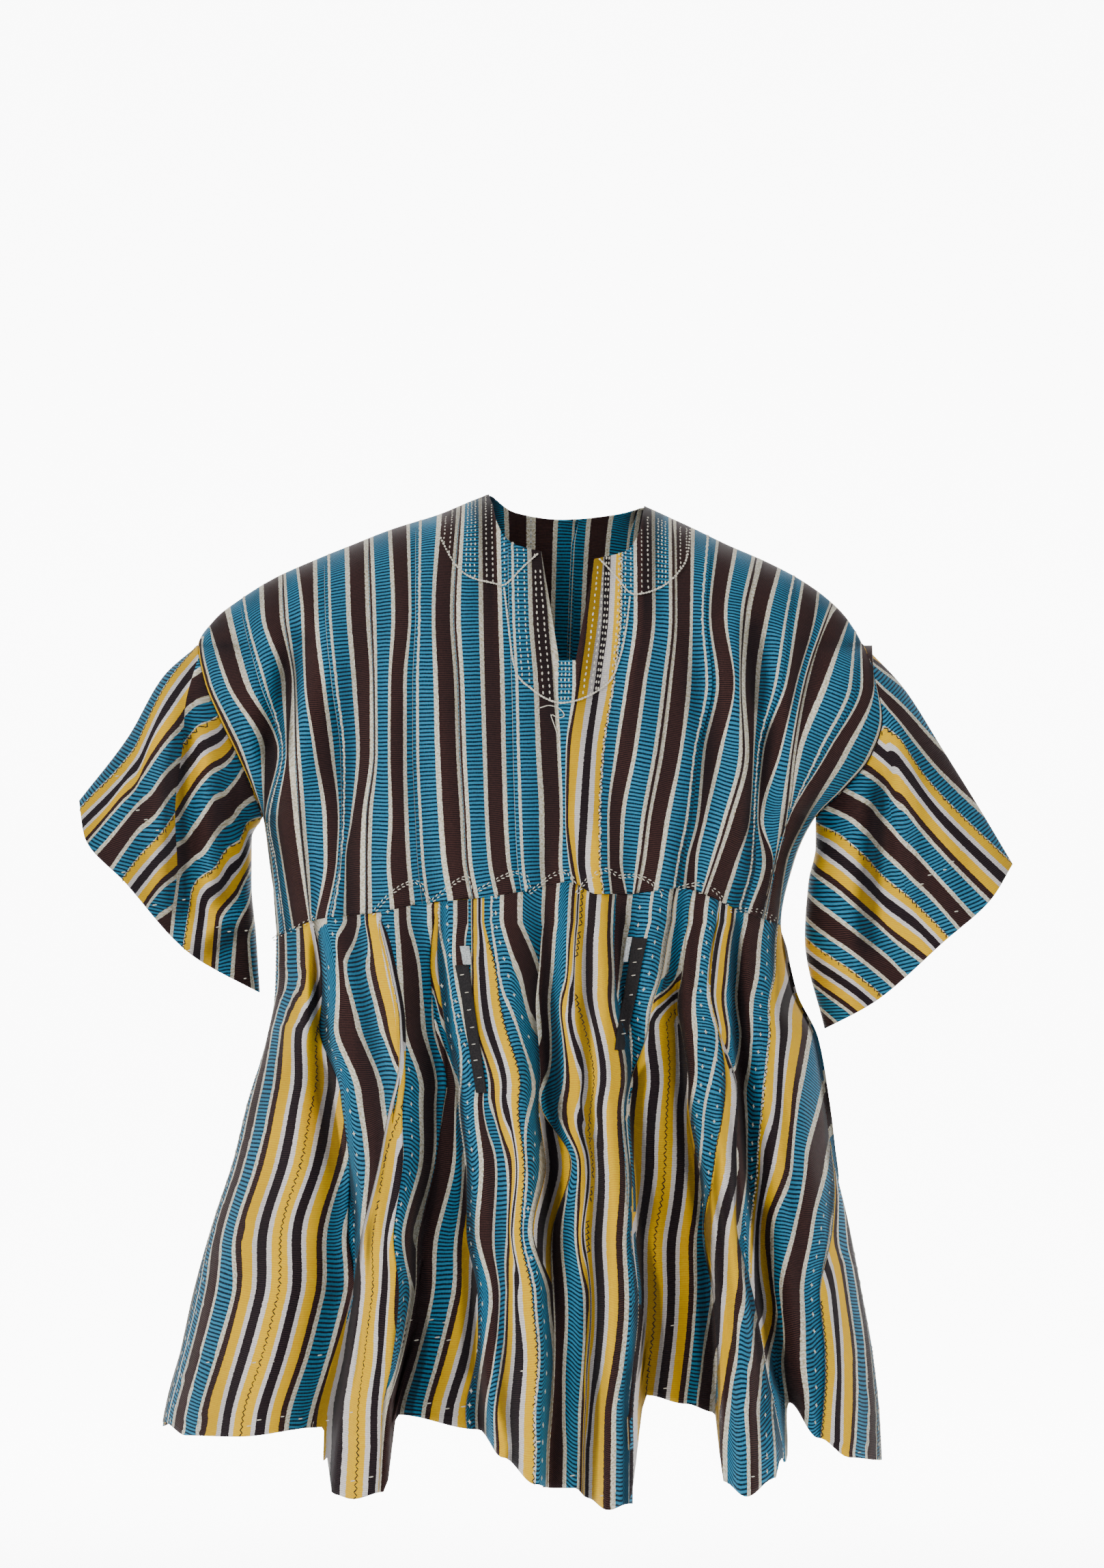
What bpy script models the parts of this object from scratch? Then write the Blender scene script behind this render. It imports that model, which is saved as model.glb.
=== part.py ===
"""A worn fugu smock, modelled as the pieces that a maker cuts and sews.

Narrow handwoven strips make a wide plain bodice, two short wide sleeves and a skirt whose
tucks open below the gather line into deep folds. The smock keeps the hollow form of a general
figure. +Z is up, the front faces -Y, and the origin is the middle of the neck at the height
of the two neck points, where the wearer's shoulders carry it. Tables are in millimetres.
"""

import math

import bpy
import numpy as np

MM = 0.001

# Cloth and seams
WALL = 1.6              # thickness of the woven cloth
SEAM_GAP = 0.6          # space left between two sewn pieces
GATHER_GAP = 1.8        # the same at the gather line, where the folds start
ARMHOLE_GAP = 1.7       # the same round an armhole, where two curved walls meet
LAID_ON_GAP = 0.5       # space between a pocket strip and the skirt under it
STRIP_WALL = 1.2        # thickness of the pocket strips

# The fold tables give places as a viewer straight in front sees them on the plane of the
# shoulders. What lies nearer to that viewer looks larger, so it is really a little smaller.
VIEW_DISTANCE = 2400.0
VIEW_X = -14.0
VIEW_Z = -235.0

# How round a level section of the body is: 2 is an ellipse
ROUNDNESS = 2.3

# Level sections of bodice and skirt: the outline's left and right, and the depth of the
# front and of the back, each measured from the plane of the shoulders
# Columns: height, left, right, front, back
SECTIONS = (
    (2, -65, 46, 18, 18),
    (-6, -85, 58, 46, 44),
    (-14, -104, 75, 60, 56),
    (-27, -145, 103, 72, 68),
    (-40, -178, 130, 81, 76),
    (-53, -210, 160, 88, 83),
    (-67, -241, 187, 94, 89),
    (-83, -267, 210, 99, 94),
    (-100, -289, 227, 104, 98),
    (-122, -303, 240, 108, 102),
    (-150, -298, 250, 114, 106),
    (-182, -285, 256, 119, 109),
    (-213, -270, 246, 124, 112),
    (-238, -259, 225, 127, 114),
    (-262, -250, 201, 130, 115),
    (-298, -245, 184, 132, 116),
    (-350, -239, 173, 135, 117),
    (-404, -240, 182, 143, 124),
    (-443, -247, 200, 151, 132),
    (-500, -264, 210, 163, 144),
    (-541, -274, 216, 170, 152),
    (-593, -291, 228, 178, 162),
    (-650, -307, 239, 186, 172),
    (-700, -318, 248, 192, 181),
    (-755, -332, 254, 198, 190),
    (-830, -340, 257, 206, 200),
)

# Height of the gather line along the front and along the back
GATHER_FRONT = ((-240, -360), (-202, -345), (-162, -341), (-115, -332), (-80, -329),
                (-38, -323), (1, -315), (22, -325), (49, -325), (89, -320), (139, -338),
                (174, -351))
GATHER_BACK = ((-240, -360), (-150, -338), (-30, -330), (100, -336), (174, -351))
GATHER_REACH = 70.0     # height above the gather line where the bodice starts to ripple

# Upper edge of the back at the neck, between the two neck points
BACK_NECK = ((-65, 2), (-45, -9), (-5, -14), (40, -11), (60, -8))

# Folds and creases fade out this far from the side seams
BODICE_FADE = 30.0
SKIRT_FADE = 22.0

# Armholes: each is a loop on the body's outline from the shoulder end to the underarm
SHOULDER_TOP = 2.0
SHOULDER_END = -122.0
UNDERARM = -262.0
ARM_HALF_DEPTH = 60.0
ARM_ROUNDS_FROM = 0.55  # share of the half width where the body starts to round into the arm
UNDERARM_GAP = 1.5      # more room where sleeve and side seam part under the arm

# Warp lines of the front bodice: where each starts at the shoulder or the neck edge, where
# it runs at five levels, and where it meets the gather line. A start height of 0 means
# that it starts on the shoulder line.
BODICE_LEVELS = (-97, -153, -208, -264, -298)
# Columns: start_across, start_height, at_97, at_153, at_208, at_264, at_298, gather
BODICE_LINES = (
    (-276, 0, -278, -257, -246, -238, -234, -229),
    (-245, 0, -241, -230, -234, -231, -227, -219),
    (-216, 0, -211, -209, -206, -202, -202, -203),
    (-174, 0, -172, -168, -167, -172, -175, -176),
    (-139, 0, -137, -139, -141, -139, -139, -136),
    (-98, 0, -103, -101, -99, -96, -94, -88),
    (-65, 0, -64, -63, -61, -60, -58, -52),
    (-58, -27, -57, -56, -54, -52, -50, -45),
    (-51, -35, -50, -50, -47, -45, -44, -39),
    (-43, -40, -43, -43, -40, -38, -37, -32),
    (-23, -45, -17, -16, -12, -8, -7, -4),
    (-8, -134, -8, -8, -7, -3, -2, 0),
    (6, -134, 6, 4, 1, 0, 1, 4),
    (21, -51, 15, 9, 4, 3, 4, 9),
    (40, -47, 37, 33, 26, 23, 23, 26),
    (50, -43, 47, 42, 34, 29, 29, 33),
    (59, -27, 57, 50, 42, 35, 35, 39),
    (60, 0, 62, 56, 48, 40, 39, 43),
    (93, 0, 93, 90, 83, 73, 68, 63),
    (128, 0, 121, 120, 115, 107, 101, 97),
    (164, 0, 154, 148, 144, 138, 129, 118),
    (200, 0, 194, 182, 169, 156, 148, 140),
    (227, 0, 227, 210, 190, 175, 166, 159),
)

# Soft ridges and troughs of the bodice: two ends and a middle point across and down, the
# height above the cloth and the width
# Columns: x0, z0, x1, z1, x2, z2, rise, width
BODICE_CREASES = (
    (-222, -120, -240, -190, -256, -236, -26, 15),
    (-205, -118, -222, -190, -238, -270, 13, 15),
    (-183, -150, -187, -235, -190, -310, -9, 15),
    (-118, -110, -112, -210, -104, -300, 6, 18),
    (-140, -90, -152, -200, -160, -300, 5, 16),
    (150, -110, 160, -190, 152, -290, -17, 13),
    (172, -130, 172, -190, 164, -270, 12, 15),
    (128, -110, 140, -200, 128, -300, 9, 15),
    (97, -120, 112, -215, 100, -305, -7, 13),
    (200, -110, 186, -165, 170, -200, -7, 12),
    (60, -120, 52, -220, 60, -300, 5, 18),
    (0, -150, 6, -230, 14, -312, 3, 16),
)
BACK_CREASES = (
    (-215, -130, -225, -200, -236, -280, -14, 18),
    (-190, -110, -196, -210, -200, -320, 8, 20),
    (-120, -80, -112, -200, -104, -320, -5, 24),
    (-40, -60, -34, -200, -28, -320, 4, 30),
    (60, -80, 56, -200, 48, -320, -5, 26),
    (130, -110, 136, -210, 124, -320, 8, 20),
    (175, -130, 168, -200, 152, -290, -13, 17),
)

# Folds of the front skirt, left to right: where each line runs at the gather line, at four
# levels and at the hem, the hem's height, and how far the line stands proud of the mean
# section (ridges) or behind it (valleys) at the same six places
SKIRT_LEVELS = (-387, -488, -599, -711)
# Columns: gather, at_387, at_488, at_599, at_711, hem, hem_height,
#          out_gather, out_387, out_488, out_599, out_711, out_hem
SKIRT_FOLDS = (
    (-240, -240, -262, -292, -321, -332, -757, 0, 0, 0, 0, 0, 0),
    (-228, -229, -250, -279, -303, -313, -768, 0, 5, 8, 9, 8, 8),
    (-216, -215, -224, -240, -262, -272, -769, 2, 9, 10, 10, 10, 10),
    (-208, -206, -197, -176, -187, -201, -761, 0, -12, -24, -32, -40, -42),
    (-200, -196, -182, -166, -178, -193, -816, 3, 10, 10, 10, 14, 16),
    (-181, -175, -161, -156, -165, -177, -820, -3, 4, 8, 22, 30, 32),
    (-160, -152, -137, -142, -147, -151, -814, 4, 13, 22, 26, 24, 22),
    (-127, -110, -106, -116, -134, -141, -751, -1, -12, -22, -34, -44, -46),
    (-112, -104, -94, -84, -79, -74, -763, 0, -10, -26, -36, -42, -44),
    (-98, -97, -84, -72, -66, -54, -786, 4, 9, 6, 0, -4, -6),
    (-56, -54, -42, -33, -26, -27, -808, 4, 14, 20, 26, 30, 32),
    (-22, -19, -13, -14, -10, -14, -811, 0, -13, -24, -22, -2, 0),
    (-10, -7, 2, 4, 6, 5, -811, 3, 2, 0, 2, 4, 4),
    (9, 12, 12, 18, 19, 15, -819, 2, 4, 2, 4, 6, 6),
    (20, 26, 31, 38, 35, 32, -829, 7, 19, 27, 32, 36, 38),
    (33, 35, 42, 49, 50, 48, -824, 2, 9, 16, 20, 22, 22),
    (44, 44, 51, 60, 62, 63, -735, -1, -4, -20, -36, -44, -46),
    (73, 65, 66, 84, 92, 95, -742, 5, 10, -18, -40, -48, -49),
    (92, 86, 92, 110, 116, 119, -749, -2, -14, -28, -38, -44, -44),
    (99, 97, 104, 121, 128, 127, -806, 1, 4, 8, 8, 8, 8),
    (115, 112, 121, 132, 143, 145, -818, 6, 14, 24, 29, 33, 34),
    (127, 127, 133, 143, 158, 168, -803, 2, 5, 9, 13, 16, 16),
    (137, 136, 141, 152, 166, 180, -741, 0, -13, -26, -30, -32, -30),
    (147, 146, 163, 177, 193, 204, -770, 3, 5, 4, 2, 0, -2),
    (160, 165, 186, 203, 222, 230, -786, 4, 10, 12, 12, 12, 12),
    (174, 180, 207, 228, 250, 254, -788, 0, 0, 0, 0, 0, 0),
)

# Folds of the back skirt by their place round the back, from the left side seam (0) to the
# right one (1), with how far each stands out at the gather line, half way and at the hem
# Columns: round, out_gather, out_half, out_hem, hem_height
BACK_FOLDS = (
    (0.00, 0, 0, 0, -757),
    (0.07, 2, 8, 14, -770),
    (0.15, -2, -16, -26, -752),
    (0.23, 4, 16, 28, -776),
    (0.31, -2, -18, -30, -754),
    (0.39, 4, 14, 26, -778),
    (0.46, -1, -12, -24, -760),
    (0.53, 4, 18, 30, -782),
    (0.61, -2, -16, -28, -758),
    (0.69, 4, 15, 26, -778),
    (0.77, -2, -18, -28, -756),
    (0.85, 4, 14, 26, -780),
    (0.93, -1, -10, -16, -776),
    (1.00, 0, 0, 0, -788),
)

# Sleeves: the upper line from the shoulder end to the cuff, the lower line from the
# underarm to the cuff, and the cuff between the two, all as seen from the front
SLEEVE_OUTLINES = {
    "sleeve_left": {
        "side": -1,
        "top": ((-303, -122), (-330, -146), (-360, -197), (-400, -249)),
        "low": ((-250, -262), (-259, -280), (-259, -315), (-255, -360), (-252, -405)),
        "cuff": ((-400, -249), (-396, -277), (-362, -316), (-310, -373), (-252, -405)),
    },
    "sleeve_right": {
        "side": 1,
        "top": ((240, -122), (272, -156), (304, -206), (337, -259), (362, -301)),
        "low": ((201, -262), (201, -285), (195, -315), (192, -360), (208, -434)),
        "cuff": ((362, -301), (345, -329), (306, -364), (250, -412), (208, -434)),
    },
}
CUFF_HALF_DEPTH = 58.0
SLEEVE_CREASES = {
    "sleeve_left": (
        (-314, -170, -322, -240, -317, -330, 13, 13),
        (-300, -165, -305, -240, -300, -350, -12, 13),
        (-345, -165, -368, -230, -375, -295, -5, 16),
        (-292, -342, -272, -341, -250, -338, -10, 11),
        (-300, -372, -276, -356, -252, -352, 7, 11),
    ),
    "sleeve_right": (
        (256, -178, 272, -240, 264, -345, 13, 13),
        (240, -190, 252, -250, 240, -360, -13, 13),
        (300, -190, 320, -250, 322, -330, -5, 16),
        (216, -262, 214, -330, 224, -420, 8, 13),
    ),
}

# Pocket slits in the skirt: an edge strip on the skirt, and the light lining at its top.
# Each runs between two places of the skirt's fold table (the row number and the share of
# the way to the next row) and two heights, and covers a part of the way between two rows.
# Columns: place_top, height_top, place_foot, height_foot, part_covered
POCKET_EDGES = {
    "pocket_edge_left": (9.26, -392, 9.24, -480, 0.16),
    "pocket_edge_right": (16.32, -381, 15.66, -440, 0.30),
}
POCKET_LININGS = {
    "pocket_lining_left": (9.30, -370, 9.28, -388, 0.18),
    "pocket_lining_right": (16.24, -357, 16.28, -376, 0.34),
}

# Mesh density
BODICE_STEP_WIDTH = 15.0        # wanted width of a cell of the front bodice
BODICE_SIDE_STEPS = 4           # cells between the last warp line and the armhole
BODICE_STEPS_DOWN = 14
BODICE_CROWDING = 1.5           # above 1 the cells are shorter over the shoulders
BACK_BODICE_ACROSS = 26
BACK_BODICE_DOWN = 11
SKIRT_STEPS_ACROSS = 3          # cells between two rows of the fold table
SKIRT_STEPS_DOWN = 12
BACK_SKIRT_STEPS_ACROSS = 4
BACK_SKIRT_STEPS_DOWN = 10
SLEEVE_STEPS_ROUND = 28
SLEEVE_STEPS_ALONG = 10
STRIP_STEPS_ACROSS = 3
STRIP_STEPS_DOWN = 8

# Colour, roughness and metallic of each piece's cloth
CLOTH = {
    "front_bodice": ((0.12, 0.33, 0.42), 0.85),
    "back_bodice": ((0.12, 0.33, 0.42), 0.85),
    "front_skirt": ((0.20, 0.31, 0.36), 0.85),
    "back_skirt": ((0.20, 0.31, 0.36), 0.85),
    "sleeve_left": ((0.42, 0.34, 0.20), 0.85),
    "sleeve_right": ((0.42, 0.34, 0.20), 0.85),
    "pocket_edge_left": ((0.03, 0.03, 0.04), 0.9),
    "pocket_edge_right": ((0.03, 0.03, 0.04), 0.9),
    "pocket_lining_left": ((0.62, 0.64, 0.62), 0.9),
    "pocket_lining_right": ((0.62, 0.64, 0.62), 0.9),
}


def through(knots, values, at):
    """A smooth curve through the knots that never overshoots them."""
    knots = np.asarray(knots, float)
    values = np.asarray(values, float)
    if knots[0] > knots[-1]:
        knots = knots[::-1]
        values = values[::-1]
    steps = np.diff(knots)
    slopes = np.diff(values) / steps
    tangents = np.zeros(len(knots))
    for i in range(1, len(knots) - 1):
        before, after = slopes[i - 1], slopes[i]
        if before * after > 0:
            w1 = 2 * steps[i] + steps[i - 1]
            w2 = steps[i] + 2 * steps[i - 1]
            tangents[i] = (w1 + w2) / (w1 / before + w2 / after)
    tangents[0] = slopes[0]
    tangents[-1] = slopes[-1]
    at = np.clip(np.asarray(at, float), knots[0], knots[-1])
    i = np.clip(np.searchsorted(knots, at) - 1, 0, len(knots) - 2)
    h = steps[i]
    t = (at - knots[i]) / h
    return ((2 * t**3 - 3 * t**2 + 1) * values[i] + (t**3 - 2 * t**2 + t) * h * tangents[i]
            + (3 * t**2 - 2 * t**3) * values[i + 1] + (t**3 - t**2) * h * tangents[i + 1])


def column(table, number):
    """One named column of a table."""
    return [row[number] for row in table]


def ease(t):
    """From 0 to 1 with level ends, as a rounded fold rises."""
    t = np.clip(t, 0.0, 1.0)
    return 0.5 - 0.5 * np.cos(np.pi * t)


def section(height):
    """Middle, half width, front depth and back depth of the body at a height."""
    left, right, front, back = (through(column(SECTIONS, 0), column(SECTIONS, k), height)
                                for k in (1, 2, 3, 4))
    return (left + right) / 2, (right - left) / 2, front, back


def shoulder_height(across):
    """Height at which the outline of the shoulders reaches this place."""
    low, high = np.full(np.shape(across), SHOULDER_END), np.full(np.shape(across), SHOULDER_TOP)
    for _ in range(40):
        middle = (low + high) / 2
        centre, half, _, _ = section(middle)
        outside = np.abs(across - centre) > half
        high = np.where(outside, middle, high)
        low = np.where(outside, low, middle)
    return low


def arm_depth(height):
    """Half depth of an armhole's loop at a height: nothing above and below it."""
    down = np.clip((SHOULDER_END - height) / (SHOULDER_END - UNDERARM), 0.0, 1.0)
    return ARM_HALF_DEPTH * np.sqrt(1 - (2 * down - 1) ** 2)


def creases(table, across, height):
    """Rise of all soft ridges and troughs at a place, each fading towards its ends."""
    rise = np.zeros(np.shape(across))
    for x0, z0, x1, z1, x2, z2, high, width in table:
        best = np.full(np.shape(across), 1e9)
        along = np.zeros(np.shape(across))
        for part, (ax, az, bx, bz) in enumerate(((x0, z0, x1, z1), (x1, z1, x2, z2))):
            length = math.hypot(bx - ax, bz - az)
            t = ((across - ax) * (bx - ax) + (height - az) * (bz - az)) / length**2
            t = np.clip(t, 0.0, 1.0)
            distance = np.hypot(across - ax - t * (bx - ax), height - az - t * (bz - az))
            nearer = distance < best
            best = np.where(nearer, distance, best)
            along = np.where(nearer, (part + t) / 2, along)
        fade = 0.35 + 0.65 * np.sin(np.pi * np.clip(along, 0.02, 0.98)) ** 0.6
        rise += high * fade * np.exp(-((best / width) ** 2))
    return rise


def gather_ripple(across):
    """How far the tuck heads stand out along the front's gather line."""
    return through(column(SKIRT_FOLDS, 0), column(SKIRT_FOLDS, 7), across)


def body_depth(across, height, front=True):
    """Depth of the bare body form, with the arm's roundness joined to its sides."""
    centre, half, front_depth, back_depth = section(height)
    side = np.clip(np.abs(across - centre) / half, 0.0, 1.0)
    deep = front_depth if front else back_depth
    body = deep * np.sqrt(np.maximum(0.0, 1 - side**ROUNDNESS))
    arm = arm_depth(height) * ease((side - ARM_ROUNDS_FROM) / (1 - ARM_ROUNDS_FROM))
    return np.hypot(body, arm)


def edge_fade(across, height, reach=BODICE_FADE):
    """Nothing at the side edges of the body and 1 from a short way in."""
    centre, half, _, _ = section(height)
    return ease((half - np.abs(across - centre)) / reach)


def seen_to_real(across, height, depth):
    """Real place of what the viewer in front sees at a place and a depth."""
    scale = (VIEW_DISTANCE - depth) / VIEW_DISTANCE
    return np.stack((VIEW_X + (across - VIEW_X) * scale, -depth,
                     VIEW_Z + (height - VIEW_Z) * scale), axis=-1)


def polyline(points, t):
    """A smooth curve through a few points, by the share of its length."""
    points = np.asarray(points, float)
    lengths = np.concatenate(([0.0], np.cumsum(np.hypot(*np.diff(points, axis=0).T))))
    lengths /= lengths[-1]
    return np.stack((through(lengths, points[:, 0], t), through(lengths, points[:, 1], t)),
                    axis=-1)


def gather_height(across):
    """Height of the gather line along the front."""
    return through(column(GATHER_FRONT, 0), column(GATHER_FRONT, 1), across)


def outline(side, height):
    """Seen place of the body's outline on one side (-1 left, 1 right)."""
    centre, half, _, _ = section(height)
    return centre + side * half


def line_ends(number):
    """Start and end of a warp line of the front bodice, and whether it starts on the
    shoulder. The first and the last lines are the sides, from the shoulder ends past the
    underarms; the others are rows of the table."""
    if number == 0:
        return outline(-1, SHOULDER_END), SHOULDER_END, GATHER_FRONT[0][1], True
    if number > len(BODICE_LINES):
        return outline(1, SHOULDER_END), SHOULDER_END, GATHER_FRONT[-1][1], True
    row = BODICE_LINES[number - 1]
    on_shoulder = row[1] == 0
    start = float(shoulder_height(np.array(row[0], float))) if on_shoulder else row[1]
    return row[0], start, float(gather_height(row[-1])), on_shoulder


def line_across(number, height):
    """Where a warp line of the front bodice runs at some heights."""
    if number == 0 or number > len(BODICE_LINES):
        return outline(-1 if number == 0 else 1, height)
    row = BODICE_LINES[number - 1]
    start_x, start, end, _ = line_ends(number)
    levels = [level for level in BODICE_LEVELS if level < start - 4]
    values = [start_x] + list(row[-1 - len(levels):-1]) + [row[-1]]
    return through([start] + levels + [end], values, height)


def bodice_lines():
    """Place of each modelled warp line: the table row before it and the share to the next."""
    last = len(BODICE_LINES)
    places = []
    for number in range(last + 1):
        if number in (0, last):
            steps = BODICE_SIDE_STEPS
        else:
            row, following = BODICE_LINES[number - 1], BODICE_LINES[number]
            width = (following[0] - row[0] + following[-1] - row[-1]) / 2
            steps = max(1, round(width / BODICE_STEP_WIDTH))
        for step in range(steps):
            share = step / steps
            if number == 0:
                share = share**1.5
            if number == last:
                share = 1 - (1 - share) ** 1.5
            places.append((number, share))
    places.append((last, 1.0))
    return places


def bodice_surface(places, down):
    """Seen place and depth of the front bodice at some warp lines and shares of the way
    from the shoulder or the neck edge to the gather line."""
    across, height = [], []
    for number, share in places:
        x0, start0, end0, on0 = line_ends(number)
        x1, start1, end1, on1 = line_ends(number + 1)
        start_x = x0 + (x1 - x0) * share
        start = start0 + (start1 - start0) * share
        if on0 and on1 and 0 < share < 1:
            start = float(shoulder_height(np.array(start_x)))
        end = end0 + (end1 - end0) * share + GATHER_GAP / 2
        z = start + (end - start) * down**BODICE_CROWDING
        x = line_across(number, z) * (1 - share) + line_across(number + 1, z) * share
        x[0] = start_x
        across.append(x)
        height.append(z)
    across = np.array(across)
    height = np.array(height)
    depth = body_depth(across, height)
    fade = edge_fade(across, height)
    depth += creases(BODICE_CREASES, across, height) * fade
    near_gather = ease(1 - (height - gather_height(across)) / GATHER_REACH)
    depth += gather_ripple(across) * near_gather * fade
    return across, height, np.maximum(depth, 0.0)


def front_bodice_grid():
    """Points of the front bodice, warp line by warp line from the left armhole."""
    down = np.linspace(0.0, 1.0, BODICE_STEPS_DOWN + 1)
    across, height, depth = bodice_surface(bodice_lines(), down)
    return seen_to_real(across, height, depth + SEAM_GAP / 2)


def back_neck_height(across):
    """Height of the back bodice's upper edge: the shoulder lines and the neck's low curve."""
    neck = through(column(BACK_NECK, 0), column(BACK_NECK, 1), across)
    inside = (across > BACK_NECK[0][0]) & (across < BACK_NECK[-1][0])
    return np.where(inside, neck, shoulder_height(across))


def back_bodice_grid():
    """Points of the back bodice, from the left armhole to the right one."""
    share = 0.5 - 0.5 * np.cos(np.linspace(0, math.pi, BACK_BODICE_ACROSS + 1))
    share = 0.5 * share + 0.5 * np.linspace(0, 1, BACK_BODICE_ACROSS + 1)
    down = np.linspace(0.0, 1.0, BACK_BODICE_DOWN + 1)
    shoulders = [outline(side, SHOULDER_END) for side in (-1, 1)]
    top = shoulders[0] + (shoulders[1] - shoulders[0]) * share
    bottom = GATHER_BACK[0][0] + (GATHER_BACK[-1][0] - GATHER_BACK[0][0]) * share
    start = back_neck_height(top)
    start[0] = SHOULDER_END
    start[-1] = SHOULDER_END
    end = through(column(GATHER_BACK, 0), column(GATHER_BACK, 1), bottom) + GATHER_GAP / 2
    height = start[:, None] + (end - start)[:, None] * down[None, :] ** BODICE_CROWDING
    centre, half, _, _ = section(height)
    side = (2 * share - 1)[:, None]
    straight = top[:, None] + (bottom - top)[:, None] * down[None, :]
    across = straight * (1 - np.abs(side) ** 3) + (centre + side * half) * np.abs(side) ** 3
    across[0] = outline(-1, height[0])
    across[-1] = outline(1, height[-1])
    across[:, 0] = top
    depth = body_depth(across, height, front=False)
    depth += creases(BACK_CREASES, across, height) * edge_fade(across, height)
    depth = np.maximum(depth, 0.0) + SEAM_GAP / 2
    return np.stack((across, depth, height), axis=-1)


def skirt_surface(place, down):
    """Seen place and depth of the front skirt at a place across its table (0 is the first
    row) and a share of the way down from the gather line."""
    place = np.clip(place, 0.0, len(SKIRT_FOLDS) - 1.0)
    row = np.minimum(place.astype(int), len(SKIRT_FOLDS) - 2)
    share = place - row
    table = np.array(SKIRT_FOLDS, float)
    across_at = table[:, :6]
    hem = table[row, 6] + (table[row + 1, 6] - table[row, 6]) * ease(share)
    out_at = table[row, 7:] + (table[row + 1, 7:] - table[row, 7:]) * ease(share)[:, None]
    gather = across_at[row, 0] * (1 - share) + across_at[row + 1, 0] * share
    top = gather_height(gather) - GATHER_GAP / 2
    across, height, out = (np.zeros((len(place), len(down))) for _ in range(3))
    for i in range(len(place)):
        z = top[i] + (hem[i] - top[i]) * down
        knots = [top[i]] + list(SKIRT_LEVELS) + [hem[i]]
        out[i] = through(knots, out_at[i], z)
        height[i] = z
        sides = []
        for number in (row[i], row[i] + 1):
            if number == 0 or number == len(SKIRT_FOLDS) - 1:
                sides.append(outline(-1 if number == 0 else 1, z))
            else:
                sides.append(through(knots, across_at[number], z))
        across[i] = sides[0] * (1 - share[i]) + sides[1] * share[i]
    depth = body_depth(across, height) + out * edge_fade(across, height, SKIRT_FADE)
    return across, height, depth


def skirt_places():
    """Place of each modelled line of the front skirt, closer together at the side seams."""
    last = len(SKIRT_FOLDS) - 1
    places = []
    for number in range(last):
        for step in range(SKIRT_STEPS_ACROSS):
            share = step / SKIRT_STEPS_ACROSS
            if number == 0:
                share = share**2
            if number == last - 1:
                share = 1 - (1 - share) ** 2
            places.append(number + share)
    places.append(float(last))
    return np.array(places)


def front_skirt_grid():
    """Points of the front skirt, fold by fold from the left side seam."""
    down = np.linspace(0.0, 1.0, SKIRT_STEPS_DOWN + 1)
    across, height, depth = skirt_surface(skirt_places(), down)
    return seen_to_real(across, height, np.maximum(depth, 0.0) + SEAM_GAP / 2)


def back_skirt_grid():
    """Points of the back skirt, fold by fold from the left side seam."""
    table = np.array(BACK_FOLDS, float)
    place = []
    for number in range(len(BACK_FOLDS) - 1):
        for step in range(BACK_SKIRT_STEPS_ACROSS):
            place.append(number + step / BACK_SKIRT_STEPS_ACROSS)
    place.append(len(BACK_FOLDS) - 1.0)
    place = np.array(place)
    row = np.minimum(place.astype(int), len(BACK_FOLDS) - 2)
    share = place - row
    turn = table[row, 0] + (table[row + 1, 0] - table[row, 0]) * share
    rise = table[row, 1:] + (table[row + 1, 1:] - table[row, 1:]) * ease(share)[:, None]
    down = np.linspace(0.0, 1.0, BACK_SKIRT_STEPS_DOWN + 1)
    width = GATHER_BACK[-1][0] - GATHER_BACK[0][0]
    top_x = GATHER_BACK[0][0] + width * (0.5 - 0.5 * np.cos(np.pi * turn))
    top = through(column(GATHER_BACK, 0), column(GATHER_BACK, 1), top_x) - GATHER_GAP / 2
    points = np.zeros((len(place), len(down), 3))
    for i in range(len(place)):
        z = top[i] + (rise[i, 3] - top[i]) * down
        centre, half, _, back = section(z)
        out = through((0.0, 0.5, 1.0), rise[i, :3], down)
        angle = math.pi * (1 - turn[i])
        cosine = math.cos(angle)
        depth = back * math.sqrt(max(0.0, 1 - abs(cosine) ** ROUNDNESS))
        fade = float(ease(np.array(min(turn[i], 1 - turn[i]) / 0.07)))
        reach = out * fade
        points[i, :, 0] = centre + half * cosine + reach * cosine * 0.7
        points[i, :, 1] = depth + reach * math.sin(angle) + SEAM_GAP / 2
        points[i, :, 2] = z
    return points


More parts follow.
